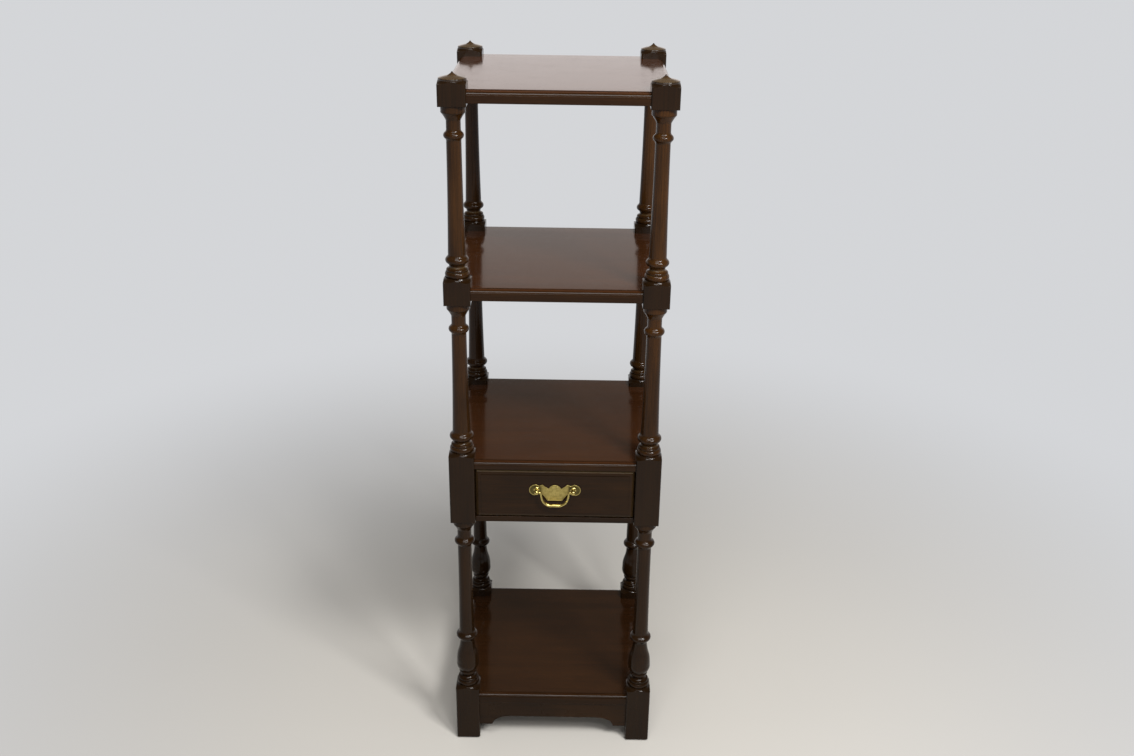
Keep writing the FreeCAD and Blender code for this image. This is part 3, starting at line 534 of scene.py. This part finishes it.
def even(scale):
    """Scale of a grain that is alike every way, per metre."""
    return (scale, scale, scale)


def new_material(name):
    """Material, its graph and the place on the piece."""
    material = bpy.data.materials.new(name)
    graph = Graph(material)
    return material, graph, graph.where()


def mahogany(name, axis, finish, warmth=0.0, gloss=0.24, shine=0.15, worn_and_lit=False, top_light_colour=None,
             top_light=1.0, polish=0.0, highlit=0.0):
    """Stained and lacquered mahogany with its ribbons, streaks and pores along an axis.

    Wood that is worn_and_lit is warm where it is turned, more so high up and to the right as
    painted light, darker low down as painted shade, darker in its grooves as painted shade with
    stain gathered there, and paler on its crests from wear and a painted highlight. With a
    top_light_colour its upper faces take that colour as painted light and are polished too.
    Highlit wood is paler on its sloped front edges, a painted highlight.
    """
    material, graph, place = new_material(name)
    ribbon = graph.noise(place, grain(axis, 34.0, 2.2), 3.0, 0.55, 0.5).between(0.2, 0.8)
    streak = graph.noise(place, grain(axis, 420.0, 9.0), 4.0, 0.6, 0.3).between(0.25, 0.85)
    blotch = graph.noise(place, grain(axis, 16.0, 9.0), 2.0).between(0.2, 0.8)
    pores = graph.noise(place, grain(axis, 1500.0, 55.0), 1.0).between(0.60, 0.72)
    body = graph.mix(ribbon * 0.4 + blotch * 0.6, finish.mahogany_dark, finish.mahogany_mid)
    body = graph.mix(streak * 0.35, body, finish.mahogany_red)
    if worn_and_lit:
        turned = graph.stored(TURNED_LAYER)
        # Painted light: the turned wood grows warmer high up and to the right, where the lamps
        # fall.
        height = graph.part(place, Z).between(0.1, 1.3)
        painted_light_falloff = (height * 0.75 + 0.1) * (graph.part(place, X).between(-0.2, 0.2) * 0.4 + 0.9)
        warm = (blotch * 0.3 + ribbon * 0.25 + streak * 0.45) * turned * painted_light_falloff * warmth
        body = graph.mix(warm, body, finish.mahogany_warm)
        # Painted shade: darker towards the bottom, where less light falls.
        body = graph.mix((1 - height) * 0.25, body, finish.mahogany_dark)
        curvature = graph.stored(CURVATURE_LAYER)
        # Darker in the grooves: painted shade, with stain gathered there.
        groove = (curvature * -1.0).between(0.02, 0.30)
        body = graph.mix(groove * 0.85, body, finish.mahogany_dark)
        # Paler on the crests: rubbed wear and a painted highlight, stronger high up as painted
        # light.
        ridge = curvature.between(0.02, 0.14) * (streak * 0.5 + 0.5) * turned
        body = graph.mix(ridge * height * 0.8, body, finish.mahogany_pale)
    else:
        body = graph.mix((streak + blotch) * ribbon * warmth, body, finish.mahogany_warm)
    inputs = {"Specular IOR Level": shine}
    if top_light_colour:
        # Painted light: upper faces take the pale top-light colour, the other faces a little of
        # it, scaled per piece.
        upward = graph.part(graph.where("Normal"), Z).between(0.75, 0.98)
        mottled = streak * 0.4 + ribbon * 0.15 + 0.5
        body = graph.mix(mottled * (upward * 0.90 + 0.10) * top_light, body, top_light_colour)
        inputs.update({"Coat Weight": upward * polish, "Coat Roughness": gloss})
    if highlit:
        # Painted highlight: sloped front edges paler, more so where they face up.
        way = graph.where("Normal")
        facing = graph.part(way, Y) * -1.0
        slope = facing.between(0.10, 0.40) * (1 - facing.between(0.80, 0.99))
        over = graph.part(way, Z).between(0.1, 0.6) * 0.65 + 0.35
        body = graph.mix(slope * over * highlit, body, finish.mahogany_pale)
    inputs["Base Color"] = graph.mix(pores * 0.5, body, finish.mahogany_dark)
    handled = graph.noise(place, even(26.0), 4.0, 0.65).between(0.3, 0.8)
    inputs["Roughness"] = handled * 0.07 + pores * 0.08 + gloss
    skin = graph.bump(graph.noise(place, even(130.0), 2.0), 0.03, 1.0 * MM)
    inputs["Normal"] = graph.bump(pores, 0.25, -0.08 * MM, Normal=skin)
    graph.surface(inputs)
    return material


def plain_wood(name, axis, light, dark):
    """Bare planed wood with its growth rings and flecks along an axis."""
    material, graph, place = new_material(name)
    rings = graph.noise(place, grain(axis, 60.0, 2.5), 3.0, 0.6, 0.8).between(0.40, 0.62)
    fibre = graph.noise(place, grain(axis, 700.0, 20.0), 2.0).between(0.35, 0.75)
    blotch = graph.noise(place, even(9.0), 2.0).between(0.3, 0.8)
    body = graph.mix(rings * 0.45 + fibre * 0.35 + blotch * 0.2, light, dark)
    graph.surface({"Base Color": body, "Roughness": fibre * 0.1 + 0.55,
                   "Normal": graph.bump(fibre, 0.3, -0.1 * MM), "Specular IOR Level": 0.3})
    return material


def brass(name, finish, rough=0.24, tarnish_share=0.35, lobes_from=None):
    """Old brass, bright where it is not tarnished.

    The back plate's field is stippled, and dark from where its lobes begin.
    """
    material, graph, place = new_material(name)
    patches = graph.noise(place, even(260.0), 4.0, 0.65).between(0.35, 0.75)
    specks = graph.noise(place, even(1400.0), 2.0).between(0.45, 0.7)
    tarnish = patches * 0.6 + specks * 0.4
    body = graph.mix(tarnish * tarnish_share, finish.brass, finish.brass_dark)
    normal = graph.bump(specks, 0.15, 0.05 * MM)
    if lobes_from:
        punches = graph.add("ShaderNodeTexVoronoi", {"feature": "F1"},
                            {"Vector": place, "Scale": 900.0}).between(0.1, 0.6)
        normal = graph.bump(punches, 0.9, 0.25 * MM, Normal=normal)
        across = graph.part(place, X)
        lobe = (across * across).between((0.85 * lobes_from) ** 2, (1.1 * lobes_from) ** 2)
        body = graph.mix(lobe * 0.85, body, finish.brass_shade)
    graph.surface({"Base Color": body, "Roughness": tarnish * 0.22 + rough, "Metallic": 1.0,
                   "Normal": normal})
    return material


def screw_steel(finish):
    """Plain turned steel with fine machining marks."""
    material, graph, place = new_material("Screw steel")
    marks = graph.noise(place, grain(Z, 400.0, 2600.0), 2.0)
    body = graph.mix(marks * 0.5, finish.steel, finish.steel_dark)
    graph.surface({"Base Color": body, "Metallic": 1.0, "Roughness": marks * 0.2 + 0.35,
                   "Normal": graph.bump(marks, 0.1, 0.03 * MM)})
    return material


def turn_base(outline, floor, base, pinch, sizes):
    """Base moulding, groove and ring, drawn in to the pinch; gives the pinch's height."""
    ring = base - sizes.base_groove - sizes.ring_bulge
    base_top = floor + sizes.base_height
    ring_top = base_top + sizes.ring_height
    outline.nose(base - sizes.base_bulge, base_top, sizes.base_bulge)
    outline.line(ring, base_top)
    outline.nose(ring, ring_top, sizes.ring_bulge)
    outline.bow(pinch, ring_top + sizes.pinch_height, sizes.pinch_share)
    return ring_top + sizes.pinch_height


def turn_bead(outline, bottom, bead_length, radius, radius_above, sizes):
    """Bead with a rounded nose between two coves."""
    middle = bottom + bead_length / 2
    edge = radius - sizes.nose_depth
    outline.bow(edge, middle - sizes.nose_height / 2, sizes.cove_share)
    outline.nose(edge, middle + sizes.nose_height / 2, sizes.nose_depth)
    outline.bow(radius_above, bottom + bead_length, sizes.cove_share)


def turn_head(outline, ceiling, column, bead, neck, sizes):
    """Column, bead, neck and cup up to the underside of a block."""
    cup_bottom = ceiling - sizes.cup_height
    bead_bottom = cup_bottom - sizes.neck_height - sizes.bead_length
    outline.taper(column, bead_bottom, sizes.column_share)
    turn_bead(outline, bead_bottom, sizes.bead_length, bead, neck, sizes)
    outline.line(neck, cup_bottom)
    wall_bottom = ceiling - sizes.cup_wall
    lip = sizes.cup_radius - sizes.cup_round
    outline.bow(lip, wall_bottom - sizes.cup_round_height, sizes.cup_share)
    outline.nose(sizes.cup_radius, wall_bottom, sizes.cup_round / 2)
    outline.line(sizes.cup_radius, ceiling + sizes.embed)
    outline.line(0.0, ceiling + sizes.embed)


def turned_length(floor, ceiling, radii, sizes, with_vase):
    """Outline of one turned length between two blocks."""
    neck, bead, column_top, column_foot, foot_bead, pinch, base = radii
    outline = Outline(0.0, floor - sizes.embed)
    outline.line(base - sizes.base_bulge, floor - sizes.embed)
    outline.line(base - sizes.base_bulge, floor)
    height = turn_base(outline, floor, base, pinch, sizes)
    if with_vase:
        height = turn_vase(outline, height, sizes)
    turn_bead(outline, height, sizes.foot_bead, foot_bead, column_foot, sizes)
    turn_head(outline, ceiling, column_top, bead, neck, sizes)
    return outline


def turn_vase(outline, pinch, sizes):
    """Vase over the base of the lower turning; gives the height of its neck."""
    ring, foot, *radii = sizes.vase_radii
    cove_height, ring_height, *rises = sizes.vase_heights
    height = pinch + cove_height
    outline.bow(ring - sizes.ring_bulge, height, sizes.cove_share)
    height += ring_height
    outline.nose(ring - sizes.ring_bulge, height, sizes.ring_bulge)
    outline.line(foot, height)
    for radius, rise, bow_share, steps in zip(radii, rises, sizes.vase_shares, VASE_STEPS):
        height += rise
        outline.bow(radius, height, bow_share, steps)
    return height


def add_block(bm, centre, width, bottom, top, lower_chamfer, shoulder, sizes):
    """Square block with rounded arrises, under a shoulder turned down to its corners."""
    half = width / 2
    shoulder_radius, shoulder_drop = shoulder
    block = box_mesh(Vector((-half, -half, bottom)), Vector((half, half, top)))
    ease(block, edges_where(block, lambda place: near(place.z, bottom)), lower_chamfer, 1)
    uprights = [edge for edge in block.edges if upright(edge)]
    slopes = [edge for edge in block.edges if lower_chamfer > sizes.under_arris
              and not upright(edge) and not near(edge.verts[0].co.z, edge.verts[1].co.z)]
    ease(block, uprights + slopes, sizes.arris, ARRIS_STEPS)
    for spoke in range(sizes.spokes):
        around = math.pi * (spoke + 0.5) / sizes.spokes
        bmesh.ops.bisect_plane(block, geom=block.verts[:] + block.edges[:] + block.faces[:],
                               dist=MERGE_DISTANCE, plane_co=(0, 0, 0),
                               plane_no=(math.cos(around), math.sin(around), 0.0))
    lids = [face for face in block.faces if all(near(vert.co.z, top) for vert in face.verts)]
    bmesh.ops.delete(block, geom=lids, context="FACES")
    rim = [edge for edge in block.edges if edge.is_boundary]
    outer = {vert: vert.co.xy.length for edge in rim for vert in edge.verts}
    start = Vector((half * math.sqrt(2), top - shoulder_drop))
    cove = [start] + arc_points(start, Vector((shoulder_radius, top)), sizes.shoulder_share,
                                sizes.shoulder_steps)
    for ring in range(sizes.rings + 1):
        for vert, radius in outer.items():
            reach = radius + (shoulder_radius - radius) * ring / sizes.rings
            vert.co.xy = vert.co.xy.normalized() * reach
            vert.co.z = height_at(cove, reach)
        if ring < sizes.rings:
            made = bmesh.ops.extrude_edge_only(block, edges=rim)["geom"]
            rim = [item for item in made if isinstance(item, bmesh.types.BMEdge)
                   and item.is_boundary]
            fresh = {vert for edge in rim for vert in edge.verts}
            outer = {vert: block_radius(vert.co.xy, half, sizes.arris) for vert in fresh}
    bmesh.ops.contextual_create(block, geom=rim)
    bmesh.ops.translate(block, verts=block.verts, vec=(centre.x, centre.y, 0.0))
    add_mesh(bm, block)


def block_radius(way, half, arris):
    """Distance from a block's axis to its rounded outline, along a flat direction."""
    way = Vector((abs(way.x), abs(way.y))).normalized()
    flat = half / max(way.x, way.y)
    core = half - arris
    if flat * min(way.x, way.y) <= core:
        return flat
    reach = Vector((core, core)).dot(way)
    return reach + math.sqrt(arris * arris - (2 * core * core - reach * reach))


def height_at(curve, radius):
    """Height of a falling outline at a radius."""
    for outer, inner in zip(curve, curve[1:]):
        if inner.x <= radius <= outer.x:
            return outer.y + (inner.y - outer.y) * (outer.x - radius) / (outer.x - inner.x)
    return curve[-1].y


def add_mesh(bm, other):
    """Moves another mesh's shapes into this one."""
    mesh = new_mesh("part", other)
    bm.from_mesh(mesh)
    bpy.data.meshes.remove(mesh)


def post_mesh(lo, hi, sizes):
    """One post from its foot to its top block."""
    bm = bmesh.new()
    centre = (lo + hi) / 2
    width = hi.x - lo.x
    shoulder = (sizes.shoulder_radius, sizes.shoulder_drop)
    bottom = lo.z
    chamfer = sizes.foot_chamfer
    for block, turning, radii, with_vase in zip(
            sizes.blocks, sizes.turnings,
            (sizes.lower_radii, sizes.middle_radii, sizes.upper_radii), (True, False, False)):
        floor = bottom + block
        add_block(bm, centre, width, bottom, floor, chamfer, shoulder, sizes)
        bottom = floor + turning
        chamfer = sizes.under_arris
        outline = turned_length(floor, bottom, radii, sizes, with_vase)
        outline.spin(bm, centre, sizes.sides)
    add_block(bm, centre, width, bottom, hi.z, chamfer, sizes.top_shoulder, sizes)
    mark_curvature(bm)
    return bm


def finial_mesh(lo, hi, floor, sizes):
    """Turned button with a flat edge and a small spire."""
    bm = bmesh.new()
    top = floor + sizes.height
    edge_top = floor + sizes.edge_height
    outline = Outline(0.0, floor)
    outline.line(sizes.radius, floor)
    outline.line(sizes.radius, edge_top - sizes.edge_round)
    outline.nose(sizes.radius - sizes.edge_round, edge_top, sizes.edge_round / 4, steps=4)
    outline.bow(sizes.crown_radius, floor + sizes.crown_height, sizes.skirt_share)
    outline.bow(sizes.tip_radius, top - sizes.tip_radius, sizes.spire_share, steps=12)
    outline.bow(0.0, top, sizes.tip_share)
    outline.spin(bm, (lo + hi) / 2, sizes.sides)
    mark_curvature(bm)
    return bm


def shelf_mesh(lo, hi, notch, arris, sizes):
    """Notched shelf with a quirk and a rounded thumbnail edge all round."""
    bm = bmesh.new()
    ledge = hi.z - sizes.quirk
    stops = [[-edge, -edge + sizes.moulding_width, -inner, inner,
              edge - sizes.moulding_width, edge] for edge, inner in zip(hi.xy, notch)]
    bands = len(stops[X]) - 1
    bmesh.ops.create_grid(bm, x_segments=bands, y_segments=bands, size=0.5)
    for vert in bm.verts:
        column, row = (round((value + 0.5) * bands) for value in vert.co.xy)
        vert.co = (stops[X][column], stops[Y][row], lo.z)
    middles = [(face, face.calc_center_median()) for face in bm.faces]
    corners = [face for face, middle in middles
               if abs(middle.x) > notch[X] and abs(middle.y) > notch[Y]]
    bmesh.ops.delete(bm, geom=corners, context="FACES")
    extrude(bm, bm.faces[:], (0, 0, ledge - lo.z))
    field = [face for face in bm.faces if all(
        near(vert.co.z, ledge) and abs(vert.co.x) < hi.x - MERGE_DISTANCE
        and abs(vert.co.y) < hi.y - MERGE_DISTANCE for vert in face.verts)]
    extrude(bm, field, (0, 0, sizes.quirk))
    for height, inset, offset, segments in ((ledge, 0.0, sizes.round_size, 10),
                                            (lo.z, 0.0, sizes.under_round, 3),
                                            (hi.z, sizes.moulding_width, sizes.quirk_ease, 2)):
        for axis in (X, Y):
            ease(bm, edges_where(bm, lambda place: near(place.z, height)
                                 and near(abs(place[axis]), hi[axis] - inset)), offset, segments)
    inner = edges_where(bm, lambda place: near(abs(place.x), notch[X])
                        and near(abs(place.y), notch[Y]))
    ease(bm, [edge for edge in inner if upright(edge)], arris, ARRIS_STEPS)
    return bm


def arched_board(half, top, thickness, sizes):
    """Board along X with an arch cut in its lower edge."""
    bm = bmesh.new()
    foot = half - sizes.arch_end
    gap = sizes.apron_gap
    right = [(half, top), (half, gap)]
    for across, up in interpolate_bezier(*ARCH_SHARES, sizes.curve_steps + 1):
        right.append((foot - across * sizes.arch_curve, gap + up * sizes.arch_rise))
    points = right + [(-x, z) for x, z in reversed(right)]
    verts = [bm.verts.new((x, -thickness / 2, z)) for x, z in points]
    extrude(bm, [bm.faces.new(verts)], (0, thickness, 0))
    under = [edge for edge in bm.edges if near(edge.verts[0].co.y, edge.verts[1].co.y)
             and max(vert.co.z for vert in edge.verts) < top - MERGE_DISTANCE]
    ease(bm, under, sizes.board_ease)
    return bm


def eased_board(lo, hi, offset):
    """Plain board with eased edges."""
    bm = box_mesh(lo, hi)
    ease(bm, bm.edges[:], offset)
    return bm


def inner_corner():
    """Half width and half depth of the space between the posts."""
    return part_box("back_right_post")[0].xy


class STAND_OT_posts(Operator):
    """Turn the four corner posts, with their square blocks"""

    bl_idname = "stand.posts"
    bl_label = "Posts"

    def execute(self, context):
        sizes = context.scene.stand_posts
        finish = context.scene.stand_finish
        # Painted light and shade along the posts: warmer high up and to the right, darker low
        # down and in the grooves, paler crests.
        wood = mahogany("Post mahogany", Z, finish, warmth=1.0, gloss=0.13, shine=0.17, worn_and_lit=True)
        for corner in CORNERS:
            node = corner + "_post"
            bm = post_mesh(*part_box(node), sizes)
            make_piece(node + "_wood", bm, wood, "carcass", node)
        return {"FINISHED"}


class STAND_OT_finials(Operator):
    """Turn the button on top of each post"""

    bl_idname = "stand.finials"
    bl_label = "Finials"

    def execute(self, context):
        sizes = context.scene.stand_finials
        finish = context.scene.stand_finish
        # Painted reflection: the button's upper faces take the pale colour; painted light and
        # shade as on the posts.
        wood = mahogany("Finial mahogany", Z, finish, warmth=0.6, gloss=0.13, shine=0.5,
                        worn_and_lit=True, top_light_colour=finish.mahogany_pale, top_light=0.48, polish=0.5)
        for corner in CORNERS:
            node = corner + "_finial"
            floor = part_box(corner + "_post")[1].z
            bm = finial_mesh(*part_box(node), floor, sizes)
            make_piece(node + "_wood", bm, wood, "carcass", node)
        return {"FINISHED"}


class STAND_OT_shelves(Operator):
    """Make the four moulded shelves"""

    bl_idname = "stand.shelves"
    bl_label = "Shelves"

    def execute(self, context):
        sizes = context.scene.stand_boards
        arris = context.scene.stand_posts.arris
        finish = context.scene.stand_finish
        notch = inner_corner()
        for shelf, top_light, polish in zip(SHELVES, finish.shelf_lighting, finish.polish):
            node = shelf + "_shelf"
            # Painted light: each shelf's upper faces are paler, the lower shelves less so.
            wood = mahogany(shelf.capitalize() + " shelf mahogany", X, finish, warmth=0.08,
                            gloss=0.10, shine=0.14, top_light_colour=finish.mahogany_lit_top, top_light=top_light,
                            polish=polish)
            bm = shelf_mesh(*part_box(node), notch, arris, sizes)
            make_piece(node + "_wood", bm, wood, "carcass", node)
        return {"FINISHED"}


class STAND_OT_aprons(Operator):
    """Make the arched aprons between the feet"""

    bl_idname = "stand.aprons"
    bl_label = "Aprons"

    def execute(self, context):
        sizes = context.scene.stand_boards
        finish = context.scene.stand_finish
        inner = inner_corner()
        for side, axis in (("front", X), ("back", X), ("left", Y), ("right", Y)):
            node = side + "_apron"
            lo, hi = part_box(node)
            wood = mahogany(side.capitalize() + " apron mahogany", axis, finish, warmth=0.12,
                            gloss=0.26)
            bm = arched_board(inner[axis], hi.z, hi[1 - axis] - lo[1 - axis], sizes)
            if axis == Y:
                bmesh.ops.rotate(bm, verts=bm.verts, cent=(0, 0, 0),
                                 matrix=Matrix.Rotation(math.pi / 2, 3, "Z"))
            middle = (lo + hi) / 2
            bmesh.ops.translate(bm, verts=bm.verts, vec=(middle.x, middle.y, 0))
            make_piece(node + "_wood", bm, wood, "carcass", node)
        return {"FINISHED"}


class STAND_OT_case(Operator):
    """Make the boards of the drawer case and dress what is inside it"""

    bl_idname = "stand.case"
    bl_label = "Drawer case"

    def execute(self, context):
        sizes = context.scene.stand_boards
        finish = context.scene.stand_finish
        inner = inner_corner()
        woods = {axis: mahogany(name, axis, finish, warmth=0.08, gloss=0.22)
                 for axis, name in ((X, "Carcass mahogany"), (Y, "Carcass side mahogany"))}
        for node, axis in (("case_back", X), ("left_case_side", Y), ("right_case_side", Y),
                           ("drawer_rail", X)):
            lo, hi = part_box(node)
            lo[axis], hi[axis] = -inner[axis], inner[axis]
            bm = eased_board(lo, hi, sizes.board_ease)
            make_piece(node + "_wood", bm, woods[axis], "carcass", node)
        pine = plain_wood("Inner pine", Y, finish.pine, finish.pine_dark)
        dress(pine, "left_runner", "right_runner", "left_drawer_guide", "right_drawer_guide",
              "drawer_stops", "apron_glue_blocks")
        beech = plain_wood("Dowel beech", X, finish.pine, finish.oak_dark)
        dress(beech, *(shelf + "_shelf_dowels" for shelf in SHELVES))
        return {"FINISHED"}


class STAND_OT_drawer(Operator):
    """Dress the drawer's front, lining and screws"""

    bl_idname = "stand.drawer"
    bl_label = "Drawer"

    def execute(self, context):
        finish = context.scene.stand_finish
        # Painted highlight: the front's moulding is paler on its sloped edges.
        dress(mahogany("Drawer front mahogany", X, finish, warmth=0.10, gloss=0.14, highlit=0.5),
              "drawer_front")
        dress(plain_wood("Side oak", Y, finish.oak, finish.oak_dark),
              "drawer_left_side", "drawer_right_side")
        dress(plain_wood("Bottom oak", X, finish.oak, finish.oak_dark),
              "drawer_back", "drawer_bottom")
        dress(screw_steel(finish), "drawer_bottom_screws")
        return {"FINISHED"}


class STAND_OT_pull(Operator):
    """Make the brass back plate and dress the posts, nuts and bail"""

    bl_idname = "stand.pull"
    bl_label = "Brass pull"

    def execute(self, context):
        sizes = context.scene.stand_pull
        finish = context.scene.stand_finish
        lo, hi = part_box("pull_plate")
        plate = make_piece("pull_plate_brass", plate_mesh(lo, hi, sizes),
                           brass("Rim brass", finish, rough=0.3), "drawer",
                           "pull_plate")
        field = brass("Stippled brass", finish, rough=0.36, tarnish_share=0.8,
                      lobes_from=hi.x - 2 * sizes.lobe_radius)
        plate.data.materials.append(field)
        dress(brass("Bail brass", finish, rough=0.16, tarnish_share=0.25), "pull_bail",
              "pull_posts")
        dress(brass("Nut brass", finish, rough=0.3), "pull_nuts")
        return {"FINISHED"}


def plate_mesh(lo, hi, sizes):
    """Back plate with a raised rim round a sunk, stippled field."""
    bm = bmesh.new()
    half = hi.x
    middle = lo.z + sizes.drop

    def point(across, up):
        return Vector((across * half, up * (sizes.rise if up > 0 else sizes.drop)))

    crest, crest_side, notch = point(0.0, 0.90), point(0.155, 0.70), point(0.235, 0.22)
    dip, brow, waist = point(0.35, 0.52), point(0.48, 0.98), point(0.50, -0.40)
    flank, foot = point(0.415, -0.60), point(0.29, -1.0)
    lobe_top, lobe_bottom = (
        Vector((half - sizes.lobe_radius + sizes.lobe_radius * math.cos(sizes.lobe_turn),
                side * sizes.lobe_radius * math.sin(sizes.lobe_turn))) for side in (1, -1))
    steps = sizes.curve_steps
    right = [crest] + arc_through(crest, crest_side, notch, steps)
    right += arc_through(notch, dip, brow, steps)
    right.append(lobe_top)
    right += arc_through(lobe_top, Vector((half, 0.0)), lobe_bottom, steps * 2)
    right.append(waist)
    right += arc_through(waist, flank, foot, steps)
    points = right + [Vector((-place.x, place.y)) for place in reversed(right[1:])]
    verts = [bm.verts.new((place.x, hi.y, middle + place.y)) for place in points]
    made = extrude(bm, [bm.faces.new(verts)], (0, lo.y - hi.y, 0))
    field = next(item for item in made if isinstance(item, bmesh.types.BMFace))
    bmesh.ops.recalc_face_normals(bm, faces=bm.faces)
    bmesh.ops.inset_region(bm, faces=[field], thickness=sizes.rim_width, depth=0.0,
                           use_even_offset=True)
    bmesh.ops.inset_region(bm, faces=[field], thickness=sizes.rim_ease,
                           depth=-sizes.rim_height, use_even_offset=True)
    field.material_index = 1
    bm.normal_update()
    outer = edges_where(bm, lambda place: near(place.y, lo.y))
    outer = [edge for edge in outer if any(near(face.normal.y, 0.0) for face in edge.link_faces)]
    ease(bm, outer, sizes.rim_ease)
    return bm


class STAND_OT_stage(Operator):
    """Set up the camera, the floor and the lamps"""

    bl_idname = "stand.stage"
    bl_label = "Stage"

    def execute(self, context):
        settings = context.scene.stand_stage
        context.scene.view_settings.view_transform = "Standard"
        context.scene.camera = add_camera(settings)
        context.scene.world = surroundings(settings)
        add_floor(settings)
        for name, place, size, watts in (
                ("Key", (1.2, -1.6, 2.4), (0.6, 0.6), settings.key_power),
                ("Ceiling", (0.0, -1.45, 3.0), (1.2, 0.8), settings.ceiling_power),
                ("Flash", (0.75, -2.2, 2.3), (0.3, 0.25), settings.flash_power),
                ("Front", (0.0, -2.6, 1.75), (1.6, 0.25), settings.front_power)):
            add_lamp(name, Vector(place), size, watts)
        return {"FINISHED"}


def add_camera(settings):
    """Camera at the photo's viewpoint."""
    data = bpy.data.cameras.new("Camera")
    data.lens = data.sensor_width * settings.focal_length / settings.image_width
    turn = (Matrix.Rotation(settings.camera_yaw, 4, "Z")
            @ Matrix.Rotation(math.pi / 2 - settings.camera_pitch, 4, "X")
            @ Matrix.Rotation(settings.camera_roll, 4, "Z"))
    camera = new_object("Camera", data)
    camera.matrix_world = Matrix.Translation(settings.camera_place) @ turn
    return camera


def add_floor(settings):
    """Plain pale floor that takes on the surroundings' colour away from the stand."""
    bm = bmesh.new()
    bmesh.ops.create_grid(bm, x_segments=1, y_segments=1, size=settings.floor_half)
    mesh = new_mesh("Floor", bm)
    material, graph, place = new_material("Pale floor")
    mesh.materials.append(material)
    clouds = graph.mix(graph.noise(place, even(1.5), 3.0), settings.floor, settings.floor_cloud)
    near_floor = graph.add("ShaderNodeBsdfPrincipled", {}, {
        "Base Color": clouds, "Roughness": 0.75, "Specular IOR Level": 0.2})
    far_floor = graph.add("ShaderNodeEmission", {}, {"Color": settings.far_floor})
    away = graph.add("ShaderNodeVectorMath", {"operation": "LENGTH"}, {0: place}, 1)
    seen = away.between(0.25, 2.0) * graph.rays("Camera", "Glossy", "Transmission")
    both = graph.add("ShaderNodeMixShader", {}, {0: seen, 1: near_floor, 2: far_floor})
    graph.add("ShaderNodeOutputMaterial", {}, {"Surface": both})
    new_object("Floor", mesh)


def add_lamp(name, place, size, watts):
    """Soft oblong lamp that points at the middle of the stand."""
    data = bpy.data.lights.new(name, "AREA")
    data.shape = "RECTANGLE"
    data.size, data.size_y = size
    data.energy = watts
    lamp = new_object(name, data)
    aim = (cad_box[0] + cad_box[1]) / 2 - place
    lamp.rotation_euler = aim.to_track_quat("-Z", "Y").to_euler()
    lamp.location = place


def surroundings(settings):
    """World whose pale surroundings are seen and mirrored brighter than they shine."""
    world = bpy.data.worlds.new("Surroundings")
    graph = Graph(world)
    way = graph.where("Generated")
    behind = graph.part(way, Y).between(-0.3, 0.7)
    low = 1 - graph.part(way, Z).between(0.10, 0.50)
    hue = graph.mix(behind * low, settings.room, settings.backdrop)
    light, mirror, view = (
        graph.add("ShaderNodeBackground", {}, {"Color": shade, "Strength": strength})
        for shade, strength in ((WHITE, settings.surround_light), (hue, 1.0),
                                (settings.far_floor, 1.0)))
    unseen = graph.add("ShaderNodeMixShader", {}, {0: graph.rays("Glossy"), 1: light, 2: mirror})
    both = graph.add("ShaderNodeMixShader", {},
                     {0: graph.rays("Camera", "Transmission"), 1: unseen, 2: view})
    graph.add("ShaderNodeOutputWorld", {}, {"Surface": both})
    return world


class STAND_PT_panel(Panel):
    """Lists the pieces of the stand"""

    bl_idname = "STAND_PT_panel"
    bl_label = "Turned display stand"
    bl_space_type = "VIEW_3D"
    bl_region_type = "UI"
    bl_category = "Stand"

    def draw(self, context):
        for operator in PIECES:
            self.layout.operator(operator.bl_idname)
        for group in GROUPS:
            settings = getattr(context.scene, group)
            box = self.layout.box()
            box.label(text=group.replace("_", " ").capitalize())
            for field in settings.__annotations__:
                box.prop(settings, field)


PIECES = (STAND_OT_posts, STAND_OT_finials, STAND_OT_shelves, STAND_OT_aprons, STAND_OT_case,
          STAND_OT_drawer, STAND_OT_pull, STAND_OT_stage)
GROUPS = {"stand_posts": StandPosts, "stand_finials": StandFinials, "stand_boards": StandBoards,
          "stand_pull": StandPull, "stand_finish": StandFinish, "stand_stage": StandStage}


register_classes, unregister_classes = bpy.utils.register_classes_factory(
    (*GROUPS.values(), *PIECES, STAND_PT_panel))


def register():
    register_classes()
    for group, settings in GROUPS.items():
        setattr(bpy.types.Scene, group, PointerProperty(type=settings))


def unregister():
    for group in GROUPS:
        delattr(bpy.types.Scene, group)
    unregister_classes()


def main():
    register()
    bpy.ops.stand.stage()
    bpy.ops.stand.posts()
    bpy.ops.stand.finials()
    bpy.ops.stand.shelves()
    bpy.ops.stand.aprons()
    bpy.ops.stand.case()
    bpy.ops.stand.drawer()
    bpy.ops.stand.pull()


if __name__ == "__main__":
    main()
